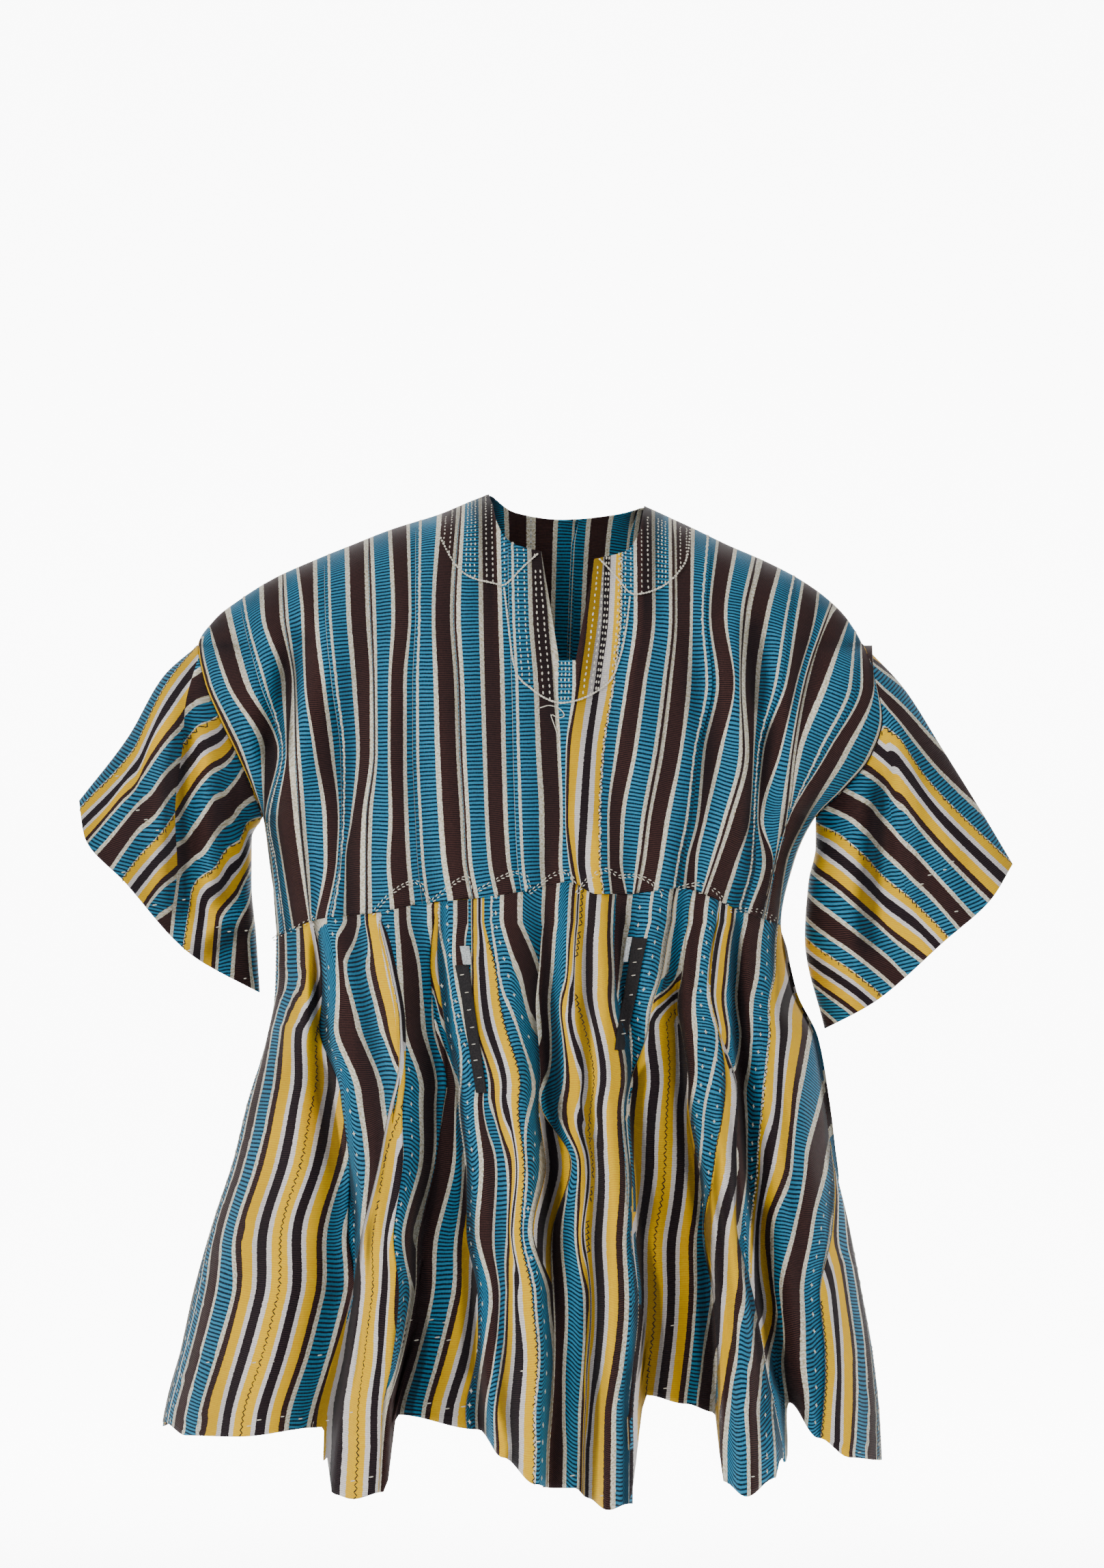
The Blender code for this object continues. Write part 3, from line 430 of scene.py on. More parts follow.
# Each stripe's colour lit, on the weave's ridges, and in painted shade, in its grooves
CLOTH_LIT_AND_SHADED_COLOURS = {
    "yellow": ("#ffd000", "#ee9a06"),
    "white": ("#fbf4f0", "#b3a6a0"),
    "dark": ("#35262a", "#0b080f"),
    "brown": ("#4c2f2b", "#150a0d"),
    "cream": ("#fffbec", "#c2b48c"),
    "teal": ("#2f8db5", "#021a2c"),
}
TEAL_RIB = 3.1         # pitch of the ribs across the strips
BROWN_RIB = 1.45
FINE_RIB = 1.6
RIB_EDGES = (0.12, 0.7)         # how sharply a teal rib rises from its groove
# Unevenness of the weave. Columns: grain across, grain along, how much
LINE_WAVER = (9.0, 2.2, 1.1)        # the stripes' edges, in millimetres
RIB_WAVER = (22.0, 60.0, 2.4)       # the ribs along the strip, in millimetres
STRAND = (0.9, 3.0, 0.9)            # single threads
PATCH = (60.0, 90.0, 0.5)           # paler and deeper places
KNOT_GRAIN = (1.6, 1.4)             # knots of the cream lines, across and along
# Painted shade in the folds, mixed into the cloth's colour: on level cloth, how much more on a
# ridge, and at the darkest, then the painted shade's own colour
FOLD_SHADE = 0.8
FOLD_RIDGE = 0.55
FOLD_DARKEST = 0.3
FOLD_SHADE_COLOUR = "#08080e"

# Embroidery round the neck, in photograph pixels: the chain outlines, and the lobes that
# rows of running stitches fill, two rows in each coloured band
EMBROIDERY_CHAINS = (
    ((645, 786), (660, 817), (673, 835), (691, 848), (724, 855), (739, 859), (750, 849),
     (768, 830), (793, 808)),
    ((739, 863), (745, 914), (752, 975), (762, 996), (778, 1008), (793, 1020), (816, 1030),
     (834, 1029), (852, 1024), (875, 1013), (895, 998), (903, 983), (916, 937), (923, 871)),
    ((879, 821), (895, 837), (910, 855), (923, 871), (938, 871), (954, 867), (974, 858),
     (989, 845), (1007, 822), (1010, 774)),
)
EMBROIDERY_LOBES = (
    EMBROIDERY_CHAINS[0] + ((757, 798), (731, 776), (724, 723), (660, 730)),
    EMBROIDERY_CHAINS[1] + ((895, 837), (868, 827), (844, 966), (819, 966), (796, 830),
                            (768, 830)),
    ((868, 818),) + EMBROIDERY_CHAINS[2] + ((945, 753), (932, 797), (905, 811)),
)
RUNNING_ROWS = (3.0, 8.2, 12.0, 15.0, 18.8, 24.5, 39.5, 43.2, 47.0, 57.5, 63.5, 74.0, 79.5)
THREAD_TAIL = ((793, 1036), (806, 1032), (822, 1038), (829, 1049), (818, 1052), (806, 1044),
               (812, 1060), (821, 1087))

# Stitches that hold the tucks along the gather line, in pixels
GATHER_STITCHES = (
    ((402, 1374), (442, 1357), (470, 1338)),
    ((548, 1337), (578, 1302), (617, 1285), (632, 1322)),
    ((632, 1322), (685, 1276), (697, 1306)),
    ((697, 1306), (766, 1268), (777, 1306)),
    ((777, 1306), (831, 1266), (846, 1306)),
    ((846, 1306), (881, 1268), (907, 1283)),
    ((907, 1283), (942, 1280), (978, 1314)),
    ((993, 1300), (1037, 1291), (1068, 1333)),
    ((1068, 1333), (1110, 1330), (1142, 1352)),
)
HEM_DASHES = (
    (303, 1993), (368, 1990), (398, 1987), (474, 1984), (288, 2087), (364, 2083),
    (384, 2079), (418, 2073), (441, 2076), (479, 2079), (515, 2062), (544, 2072),
    (563, 2067), (515, 2168), (545, 2164), (606, 1934), (627, 1933), (651, 1935),
    (607, 1957), (636, 1955), (655, 1956), (622, 2055), (650, 2057), (677, 2058),
    (769, 2007), (906, 2045), (987, 1935), (979, 2030), (1273, 2018), (1258, 2123),
    (1125, 2133), (1103, 2163), (836, 2155), (791, 2111), (882, 2187),
)
CUFF_DASHES = {
    "sleeve_left": ((168, 1136), (189, 1166), (202, 1182), (216, 1196), (229, 1214),
                    (182, 1273), (211, 1266), (225, 1327), (268, 1316), (318, 1354),
                    (336, 1361), (361, 1364), (386, 1368), (284, 1393), (362, 1432)),
    "sleeve_right": ((1434, 1220), (1411, 1244), (1397, 1260), (1382, 1274), (1366, 1285),
                     (1352, 1295), (1401, 1335)),
}

# Pocket edges and linings on the front skirt: lines of pixels down their left and right
POCKET_STRIPS = {
    "pocket_edge_left": (((667, 1413), (675, 1450), (682, 1500), (690, 1550), (698, 1600)),
                         ((687, 1413), (692, 1450), (699, 1500), (706, 1550), (713, 1600))),
    "pocket_edge_right": (((927, 1372), (922, 1410), (915, 1450), (907, 1490), (901, 1537)),
                          ((949, 1374), (940, 1412), (933, 1452), (925, 1490), (914, 1537))),
    "pocket_lining_left": (((674, 1385), (677, 1400), (679, 1412)),
                           ((688, 1385), (690, 1400), (691, 1412))),
    "pocket_lining_right": (((919, 1372), (916, 1390), (913, 1408)),
                            ((927, 1372), (923, 1390), (920, 1408))),
}
POCKET_ROWS = 40
POCKET_CELLS = 6
POCKET_CROSSES = (
    (675, 1429), (682, 1452), (686, 1476), (691, 1502), (695, 1529), (698, 1555),
    (701, 1581), (935, 1386), (930, 1405), (929, 1429), (925, 1454), (921, 1477),
    (913, 1499), (909, 1516),
)
POCKET_RISE = 2.4       # height of a pocket's edge above the skirt
LINING_SINK = 0.4       # how far the lining lies below it
POCKET_WALL = 0.9

# Camera, floor and light
PHOTO_HEIGHT = 2296.0       # the photograph's long side, in pixels
SENSOR = 36.0
FLOOR_REACH = 4.0
FLOOR_CURVE = 1.5
FLOOR_HEIGHT = -1.35
FLOOR_TOP = 4.0
GLOW_DEPTHS = (0.6, 2.2)    # how far back, in metres, the floor starts to glow and fully does
GLOW_SIDES = (1.5, 1.9)     # how far to each side the glow fades away
GLOW_LEAST = 0.02
FLOOR_GLOW = 8.5
WORLD_STRENGTH = 0.42
LIGHT_AIM = (0.0, 0.0, -0.4)
# Columns: name, place, size, power
LIGHTS = (
    ("key", (-1.7, -2.3, 1.5), 1.6, 66.0),
    ("fill", (2.2, -1.9, 0.3), 2.2, 13.0),
    ("back", (0.4, 2.2, 1.4), 2.0, 5.0),
)

# The cut of each cloth that shows: width and length in metres, flat area, and how it is held
SHEETS = {
    "front_bodice": (0.62, 0.38, 0.23, "draped"),
    "back_bodice": (0.60, 0.38, 0.22, "draped"),
    "front_skirt": (1.10, 0.50, 0.52, "gathered"),
    "back_skirt": (0.84, 0.45, 0.35, "gathered"),
    "sleeve_left": (0.40, 0.23, 0.075, "draped"),
    "sleeve_right": (0.40, 0.25, 0.085, "draped"),
}

# Folds of the front skirt as runs of cloth between two fold edges, in photograph pixels. Each
# run is given at some heights as places across. A pair says a place and its number on the
# loom, and a bare place lies on the chart's next line. Where the number at the end of a run
# isn't the next run's first one, the cloth between is tucked away.
SKIRT_HEIGHTS_Y = (1350, 1420, 1500, 1600, 1700, 1800, 1900, 2000, 2060, 2120)
SKIRT_LINES = (
    # left panel
    (
        ((404, -45), 431, 437, 441, (455, -17), (457, -17)),
        ((404, -46), 431, 438, 445, 461, 470),
        ((404, -43), 411, 418, 427, 438, 443, 454, 462, 473),
        ((366, -50.2), 393, 400, 407, 422, 428, 439, 445, 458, 471, 477, 489, 495),
        ((345, -53.5), 351, 377, 383, 391, 406, 413, 426, 433, 444, 455, 461, 474, 482, 496, 505,
         512),
        ((328, -53.5), 335, 361, 367, 375, 390, 398, 411, 418, 430, 439, 445, 458, 466, 481, 489,
         496, 517, 523),
        ((288, -67.5), 311, 318, 345, 351, 358, 372, 380, 393, 400, 412, 424, 430, 443, 450, 465,
         473, 480, 506, 512, (520, 58)),
        ((276, -67.5), 293, 299, 325, 332, 341, 355, 362, 375, 382, 395, 407, 413, 426, 433, 447,
         455, 462, 487, 493, (498, 56.5)),
        ((269, -67.5), 284, 290, 316, 323, 331, 348, 355, 366, 372, 383, 397, 402, 416, 422, 435,
         443, 450, 477, 482, (486, 56)),
        ((262, -67.5), 277, 283, 309, 316, 324, 341, 348, 359, 365, 376, 390, 395, 409, 415, 428,
         436, 443, 465, 470, (473, 55)),
    ),
    # strip that dips behind the tongue
    (
        ((457, 83.5), (478, 84), (502, 96.2), 508, 523, (530, 117), (533, 133), (539, 138.7), 551,
         556),
        ((470, 83.5), (493, 96.2), 498, 503, 509, 537, 544, 552, 566, 575),
        ((473, 83.5), (497, 96.2), 503, 527, 535, 560, 568, 575, 585, 592),
        ((495, 83.5), (519, 96.2), 528, 554, 561, (575, 124)),
        ((512, 83.5), (538, 96.2), 544, (559, 108)),
        ((523, 83.5), (544, 96.2), (547, 98)),
        ((520, 83.5), (520, 84)),
        ((498, 83.5), (498, 84)),
        ((486, 83.5), (486, 84)),
        ((473, 83.5), (473, 84)),
    ),
    # first tongue
    (
        ((556, 157), (556, 157.5)),
        ((575, 157), (575, 157.5)),
        ((592, 157), (592, 158)),
        ((575, 157), (587, 164)),
        ((559, 157), 562, 566, 580, 583, (590, 180)),
        ((547, 157), 551, 563, 575, 579, 584, (589, 187)),
        ((520, 148), 523, 534, 540, 551, 558, 562, 572, 576, 582, (588, 199)),
        ((498, 138.7), 507, 516, 527, 535, 546, 558, 563, 571, 576, (583, 190)),
        ((486, 136), 488, 502, 511, 525, 533, 546, 556, 563, 572, (578, 188)),
        ((473, 132), (486, 138.7), 500, 509, 524, 532, 546, 555, 563, 573, (576, 187)),
    ),
    # lit edge behind the first tongue
    (
        ((556, 83.5), (577, 96.2), 585, 594, 601, 625, 632),
        ((575, 91), 583, 591, 614, 618, (630, 127)),
        ((592, 94), 594, 599, 621, 628, 637, 640),
        ((587, 83.5), (611, 96.2), 618, 634, 637, (648, 126)),
        ((590, 83.5), (615, 96.2), 621, 634, 638),
        ((589, 88), 603, 607, 619, 626),
        ((588, 86), 604, (610, 99)),
        ((583, 92), 592, (596, 99)),
        ((578, 95), (586, 99)),
        ((576, 95), (580, 99)),
    ),
    # dark valley beside the left pocket
    (
        ((632, 134.2), 636, (643, 141)),
        ((630, 137), 633, 640, 645),
        ((640, 113.5), 645, 651, (657, 134)),
        ((648, 97), 651, 665, 671),
        ((638, 99), 639, 664, 669, 678, (684, 134)),
        ((626, 99), 627, 652, 658, 680, 685, 692, (697, 141)),
        ((610, 98.5), 612, 636, 640, 664, 671, 679, 690, 694, 703, (705, 158)),
        ((596, 98.5), 597, 618, 622, 647, 653, 661, 674, 682, 694, 698, (707, 166)),
        ((586, 99), 587, 606, 612, 637, 643, 650, 663, 671, 682, 689, (700, 166)),
        ((580, 99), 581, 600, 606, 631, 637, 644, 657, 665, 676, 683, (706, 166)),
    ),
    # strip with the left pocket
    (
        ((643, -83.5), (656, -76), 664, 670, 685, (690, -33), (694, -28), (700, -18), (704, -10),
         (709, 0)),
        ((645, -90), (659, -83.5), (664, -76), 666, 672, 684, (692, -36), (697, -28.3), 701, 704,
         714, 717, 729),
        ((657, -94), (673, -83.5), (682, -71), (690, -67.5), (697, -36), (702, -28.3), 708, 714,
         724, 729, 742),
        ((671, -83.5), (693, -70.8), 698, 705, (712, -36), (717, -32), 723, 729, 732, 739, 746,
         757),
        ((684, -83.5), (703, -70.8), 710, 727, 729, (740, -37), (745, -32.8), 751, 757, (759, -8),
         (768, 0)),
        ((697, -80), 709, 715, 734, 737, 754, 757, (760, -20), (763, -6.5), 774),
        ((705, -81), 721, 727, 736, 738, 744, 748, 750, 756, 759, 763, 770, 784),
        ((707, -76), 715, 718, 732, 734, 742, 746, 750, 758, 764, 777, 782, 796),
        ((700, -79), 714, 717, 727, 730, 739, 742, 745, 757, 764, 777, 784, 797),
        ((706, -79), (720, -67.5), 728, (737, -40), (744, -32.8), 747, 761, 767, 776, 783, 798),
    ),
    # strip sewn on beside it
    (
        ((709, 77.5), (720, 83.5), (731, 96.2), 738, 757, 765, 793, (796, 133)),
        ((729, 81), (733, 83.5), (756, 96.2), 765, 790, (793, 115.5)),
        ((742, 77.5), (759, 83.5), (779, 96.2), (788, 99)),
        ((757, 77.5), (777, 83.5), (781, 85), (785, 87)),
        ((768, 81), (771, 83.5), (790, 96.2), 798),
        ((774, 80), (778, 83.5), (784, 96.2), 790),
        ((784, 81), (788, 83.5), (805, 96.2), 809, (814, 103)),
        ((796, 82), (798, 83.5), (818, 96.2), (820, 98)),
        ((797, 83), (801, 85), 819, (822, 98)),
        ((798, 83), (803, 86), 814, (817, 98)),
    ),
    # amber valley that ends half way down
    (
        ((796, 5), (796, 5.5)),
        ((793, 5), (793, 5.5)),
        ((788, 5), (788, 5.5)),
        ((785, 5), (785, 5.5)),
        ((798, 6), (804, 10), 819, 824, 835, (838, 30)),
        ((790, 5), (794, 8), (806, 17), 812, 820, (821, 29)),
        ((814, 28), (814, 28.5)),
        ((820, 28), (820, 28.5)),
        ((822, 28), (822, 28.5)),
        ((817, 28), (817, 28.5)),
    ),
    # tongue in the middle
    (
        ((796, -69), 798, 813, 818, 831, 836, 841, (848, -6), 851, 858, 861, 872, 879, 890, 895,
         898, (900, 38)),
        ((793, -69), 795, 811, 816, 834, (837, -28.3), 841, 845, (846, -5), 847, 856, 863, 873,
         881, 895, 901, (904, 36)),
        ((788, -70.8), 796, 805, 810, 825, (827, -28.3), 830, 835, 840, 844, 857, 865, 870, 876,
         883, 897, 902, 905, (914, 42)),
        ((785, -53.5), 789, 819, 823, 830, 846, (848, -13), 850, (856, -7), (859, -5), 865, 869,
         873, 881, 887, 902, 908, 911, (915, 40)),
        ((838, -44), 845, 848, 851, 856, 860, 863, 865, 869, 872, 876, 885, 891, 906, 914, 919,
         (921, 37.5)),
        ((821, -68), 822, 832, 836, 851, 854, 858, (862, -18), (866, -5), 870, 876, 881, 892, 898,
         911, 920, 926, (933, 40)),
        ((814, -70), 816, 832, 836, 858, 862, 867, (869, -18), (870, -6.5), 873, 875, 878, 890,
         896, 908, 917, 924, (937, 43)),
        ((820, -69), 821, 833, 838, 860, 864, 867, (868, -12), (870, 0), (872, 7), 878, 887, 893,
         903, 913, 920, (933, 43)),
        ((822, -68), 823, 837, 842, 860, 865, 869, (871, -12), (872, 0), (875, 9), (881, 17), 885,
         899, 908, 914, (931, 44)),
        ((817, -68), 818, 839, 844, 859, 863, 867, (868, 0), (870, 9), (875, 17), 881, 897, 906,
         913, (932, 44)),
    ),
    # strip with the right pocket
    (
        ((900, 53.5), 916, 924, (949, 82), (953, 83.5), (977, 96.2), 982, (986, 101)),
        ((904, 57), 911, 915, (930, 76), (940, 82), (942, 83.5), (970, 96.2), 976, (977, 100)),
        ((914, 79), (922, 83.5), (946, 96.2), 950, (951, 100)),
        ((915, 83.5), (915, 84)),
        ((921, 83.5), (921, 84)),
        ((933, 83.5), (933, 84)),
        ((937, 83.5), (937, 84)),
        ((933, 83.5), (933, 84)),
        ((931, 83.5), (931, 84)),
        ((932, 83.5), (932, 84)),
    ),
    # valley behind the tongue in the middle
    (
        ((986, -52), 990, (1006, -38), 1011),
        ((977, -53.5), 985, 999, (1006, -33), (1007, -32.5)),
        ((951, -17), 958, 964, 975, 986, 992, (996, 11)),
        ((915, -36.2), 921, 929, 941, 947, 960, 965, 973, 982, 988, 1000, (1004, 20)),
        ((921, -33.5), 923, 927, 939, 945, 958, 963, 973, 983, 990, 1001, 1007, 1016, (1022, 31)),
        ((933, -20.5), 941, 953, 958, 968, 980, 986, 999, 1005, 1017, 1024, 1028, (1037, 42)),
        ((937, -17), 946, 952, 962, 974, 980, 991, 998, 1011, 1019, 1023, 1044, (1048, 53)),
        ((933, -14), 940, 946, 957, 968, 974, 986, 993, 1005, 1013, 1018, 1032, 1034, 1050,
         (1056, 70)),
        ((931, -14), 938, 944, 954, 965, 971, 983, 990, 1002, 1010, 1015, 1029, 1031, 1047,
         (1057, 70)),
        ((932, -14), 938, 944, 954, 965, 971, 983, 990, 1002, 1010, 1015, 1029, 1031, 1047,
         (1057, 70)),
    ),
    # right tongue, strip of the teal ticks
    (
        ((1011, 52), 1016, 1030, 1036, (1050, 82), (1053, 83.5)),
        ((1007, 53.5), 1026, 1031, (1040, 82), (1047, 83.5)),
        ((996, 53.5), 1012, 1020, (1042, 82), (1048, 84.5)),
        ((1004, 63), 1008, 1013, (1027, 82), (1033, 84), (1056, 94)),
        ((1022, 82), (1026, 84), (1046, 94)),
        ((1037, 93), (1038, 94)),
        ((1048, 94), (1048, 94.5)),
        ((1056, 94), (1056, 94.5)),
        ((1057, 94), (1057, 94.5)),
        ((1057, 94), (1057, 94.5)),
    ),
    # right tongue, yellow strip
    (
        ((1053, 5), (1053, 5.5)),
        ((1047, 5), (1047, 5.5)),
        ((1048, 5), (1048, 5.5)),
        ((1056, 0), 1065, 1073, (1075, 11)),
        ((1046, 0), 1061, 1069, (1071, 12), (1076, 14)),
        ((1038, 0), 1050, 1057, 1069, 1075, (1084, 27)),
        ((1048, 9), 1051, 1059, 1067, 1080, 1089, 1094, (1101, 44), (1105, 46)),
        ((1056, 19), 1059, 1069, 1079, 1085, 1099, 1105, 1117, 1122, (1125, 73)),
        ((1057, 24), 1063, 1072, 1079, 1097, 1104, 1114, 1119, (1130, 79), (1140, 86)),
        ((1057, 25), 1063, 1066, 1073, 1100, 1105, 1116, 1119, (1132, 79), (1151, 90)),
    ),
    # right panel, up to its first seam
    (
        ((1053, 8), (1061, 17), 1065, 1071, 1075, 1078, 1090, 1096, 1115, 1120, (1138, 82),
         (1141, 83.5)),
        ((1047, 9), (1050, 12), 1053, 1058, 1066, 1071, 1073, 1086, 1091, 1113, 1119,
         (1142, 83.5)),
        ((1048, 15), 1050, 1054, 1059, 1063, 1066, 1079, 1083, 1097, 1100, (1124, 83.5)),
        ((1075, 64), (1080, 66), 1084, 1088, (1113, 83.5)),
        ((1076, 52), 1080, 1091, 1093, (1109, 83.5)),
        ((1084, 68), 1090, (1103, 83.5)),
        ((1105, 83), (1105, 83.5)),
        ((1125, 83), (1125, 83.5)),
        ((1140, 83), (1140, 83.5)),
        ((1151, 83), (1151, 83.5)),
    ),
    # right panel, between its seams
    (
        ((1141, 0), (1145, 2)),
        ((1142, 0), (1151, 3), (1160, 8)),
        ((1124, 0), 1132, 1138, 1150, 1156, 1170, (1180, 33)),
        ((1113, 0), 1126, 1131, 1139, 1142, 1154, 1161, 1167, 1194, 1200),
        ((1109, 0), 1112, 1117, 1129, 1135, 1148, 1156, 1160, 1175, 1180, 1205, 1211, (1217, 75)),
        ((1103, 0), 1109, 1111, 1117, 1120, 1125, 1134, 1139, 1164, 1170, 1190, 1194, (1217, 82.5),
         (1222, 85)),
        ((1105, 9), 1107, 1119, 1125, 1133, 1138, 1140, 1144, 1148, 1173, 1179, (1204, 83.5)),
        ((1125, 33), 1130, 1149, 1152, 1175, 1183, (1213, 83.5)),
        ((1140, 40), 1155, 1161, 1185, 1190, (1212, 83.5)),
        ((1151, 46), 1154, 1158, 1179, 1184, (1205, 83.5)),
    ),
    # right panel, past its second seam
    (
        ((1145, 29), (1145, 29.5)),
        ((1160, 29), (1160, 29.5)),
        ((1180, 29), (1180, 29.5)),
        ((1200, 29), (1200, 29.5)),
        ((1217, 27), (1219, 28)),
        ((1222, 27), (1228, 32.8), 1235, (1242, 45), (1247, 50)),
        ((1204, 0), 1214, 1219, 1226, 1230, 1239, 1248, 1254, (1260, 44), (1265, 50)),
        ((1213, 0), 1225, 1229, 1232, 1238, 1251, 1260, 1266, (1278, 46), (1282, 50)),
        ((1212, 0), 1223, 1228, 1234, 1239, 1253, 1262, 1268, 1284, (1290, 53)),
        ((1205, 0), 1218, 1226, 1231, 1238, 1254, 1263, 1268, 1282, 1286, (1292, 56)),
    ),
)
# Half height of the tuck at the edge between a run and the next one: above 0 the left run
# lies on top, below 0 the right one, and 0 is a flat seam
SKIRT_TUCKS = (1.8, -1.8, 1.6, 1.2, -1.6, 0.0, 1.4, -1.6, 1.8, -1.2, -1.8, 0.0, 1.6, 0.0, -1.2)


def through(knots, values, at):
    """A smooth curve through the knots that never overshoots them."""
    knots = np.asarray(knots, float)
    values = np.asarray(values, float)
    if knots[0] > knots[-1]:
        knots = knots[::-1]
        values = values[::-1]
    steps = np.diff(knots)
    slopes = np.diff(values) / steps
    tangents = np.zeros(len(knots))
    for i in range(1, len(knots) - 1):
        before, after = slopes[i - 1], slopes[i]
        if before * after > 0:
            w1 = 2 * steps[i] + steps[i - 1]
            w2 = steps[i] + 2 * steps[i - 1]
            tangents[i] = (w1 + w2) / (w1 / before + w2 / after)
    tangents[0] = slopes[0]
    tangents[-1] = slopes[-1]
    at = np.clip(np.asarray(at, float), knots[0], knots[-1])
    i = np.clip(np.searchsorted(knots, at) - 1, 0, len(knots) - 2)
    h = steps[i]
    t = (at - knots[i]) / h
    return ((2 * t**3 - 3 * t**2 + 1) * values[i] + (t**3 - 2 * t**2 + t) * h * tangents[i]
            + (3 * t**2 - 2 * t**3) * values[i + 1] + (t**3 - t**2) * h * tangents[i + 1])


def column(table, number):
    """One named column of a table."""
    return [row[number] for row in table]


def ease(t):
    """From 0 to 1 with level ends, as a rounded fold rises."""
    t = np.clip(t, 0.0, 1.0)
    return 0.5 - 0.5 * np.cos(np.pi * t)


def section(height):
    """Middle, half width, front depth and back depth of the body at a height."""
    left, right, front, back = (through(column(SECTIONS, 0), column(SECTIONS, k), height)
                                for k in (1, 2, 3, 4))
    return (left + right) / 2, (right - left) / 2, front, back


def shoulder_height(across):
    """Height at which the outline of the shoulders reaches this place."""
    low, high = np.full(np.shape(across), SHOULDER_END), np.full(np.shape(across), SHOULDER_TOP)
    for _ in range(40):
        middle = (low + high) / 2
        centre, half, _, _ = section(middle)
        outside = np.abs(across - centre) > half
        high = np.where(outside, middle, high)
        low = np.where(outside, low, middle)
    return low


def arm_depth(height):
    """Half depth of an armhole's loop at a height: nothing above and below it."""
    down = np.clip((SHOULDER_END - height) / (SHOULDER_END - UNDERARM), 0.0, 1.0)
    return ARM_HALF_DEPTH * np.sqrt(1 - (2 * down - 1) ** 2)


def creases(table, across, height):
    """Rise of all soft ridges and troughs at a place, each fading towards its ends."""
    rise = np.zeros(np.shape(across))
    for x0, z0, x1, z1, x2, z2, high, width in table:
        best = np.full(np.shape(across), 1e9)
        along = np.zeros(np.shape(across))
        for part, (ax, az, bx, bz) in enumerate(((x0, z0, x1, z1), (x1, z1, x2, z2))):
            length = math.hypot(bx - ax, bz - az)
            t = ((across - ax) * (bx - ax) + (height - az) * (bz - az)) / length**2
            t = np.clip(t, 0.0, 1.0)
            distance = np.hypot(across - ax - t * (bx - ax), height - az - t * (bz - az))
            nearer = distance < best
            best = np.where(nearer, distance, best)
            along = np.where(nearer, (part + t) / 2, along)
        fade = 0.35 + 0.65 * np.sin(np.pi * np.clip(along, 0.02, 0.98)) ** 0.6
        rise += high * fade * np.exp(-((best / width) ** 2))
    return rise


def gather_ripple(across):
    """How far the tuck heads stand out along the front's gather line."""
    return through(column(SKIRT_FOLDS, 0), column(SKIRT_FOLDS, 7), across)


def body_depth(across, height, front=True):
    """Depth of the bare body form, with the arm's roundness joined to its sides."""
    centre, half, front_depth, back_depth = section(height)
    side = np.clip(np.abs(across - centre) / half, 0.0, 1.0)
    deep = front_depth if front else back_depth
    body = deep * np.sqrt(np.maximum(0.0, 1 - side**ROUNDNESS))
    arm = arm_depth(height) * ease((side - ARM_ROUNDS_FROM) / (1 - ARM_ROUNDS_FROM))
    return np.hypot(body, arm)


def edge_fade(across, height, reach=BODICE_FADE):
    """Nothing at the side edges of the body and 1 from a short way in."""
    centre, half, _, _ = section(height)
    return ease((half - np.abs(across - centre)) / reach)


def seen_to_real(across, height, depth):
    """Real place of what the viewer in front sees at a place and a depth."""
    scale = (VIEW_DISTANCE - depth) / VIEW_DISTANCE
    return np.stack((VIEW_X + (across - VIEW_X) * scale, -depth,
                     VIEW_Z + (height - VIEW_Z) * scale), axis=-1)


def polyline(points, t):
    """A smooth curve through a few points, by the share of its length."""
    points = np.asarray(points, float)
    lengths = np.concatenate(([0.0], np.cumsum(np.hypot(*np.diff(points, axis=0).T))))
    lengths /= lengths[-1]
    return np.stack((through(lengths, points[:, 0], t), through(lengths, points[:, 1], t)),
                    axis=-1)


def gather_height(across):
    """Height of the gather line along the front."""
    return through(column(GATHER_FRONT, 0), column(GATHER_FRONT, 1), across)


def outline(side, height):
    """Seen place of the body's outline on one side (-1 left, 1 right)."""
    centre, half, _, _ = section(height)
    return centre + side * half


def seen_x(pixel):
    """Seen place across, in millimetres, of a photograph pixel."""
    return (np.asarray(pixel, float) - NECK_PIXEL_X) / PIXELS_PER_MM


def seen_z(pixel):
    """Seen height, in millimetres, of a photograph pixel."""
    return (NECK_PIXEL_Y - np.asarray(pixel, float)) / PIXELS_PER_MM


class Columns:
    """A striped cloth in the making: columns of points, and for each cell between two
    columns its places on the loom at the left and at the right."""

    def __init__(self):
        self.points = []
        self.left = []
        self.right = []
        self.fresh = []

    def add(self, points, left=0.0, right=0.0, fresh=False):
        """One more column, with the loom places of the cell before it. A fresh cell starts
        a new strip, whose weft needn't meet its neighbour's."""
        if self.points:
            self.left.append(np.broadcast_to(left, len(points)).astype(float))
            self.right.append(np.broadcast_to(right, len(points)).astype(float))
            self.fresh.append(fresh)
        self.points.append(points)

    def cloth(self):
        """Points, and u and v at both sides of each cell."""
        points = np.array(self.points)
        along = np.gradient(points, axis=1)
        along /= np.maximum(np.linalg.norm(along, axis=2, keepdims=True), 1e-9)
        steps = np.linalg.norm(np.diff(points, axis=1), axis=2)
        down = np.concatenate((np.zeros((len(points), 1)), np.cumsum(steps, axis=1)), axis=1)
        v_left, v_right = [], []
        before = down[0]
        for i, fresh in enumerate(self.fresh):
            if fresh:
                before = down[i]
            after = before + np.sum((points[i + 1] - points[i]) * along[i], axis=1)
            even = np.clip(np.diff(after), *(share * steps[i + 1] for share in RIB_CROWDING))
            even = np.concatenate(([0.0], np.cumsum(even)))
            after = even - even.mean() + after.mean()
            v_left.append(before)
            v_right.append(after)
            before = after
        return Cloth(points, np.array(self.left), np.array(self.right), np.array(v_left),
                     np.array(v_right))


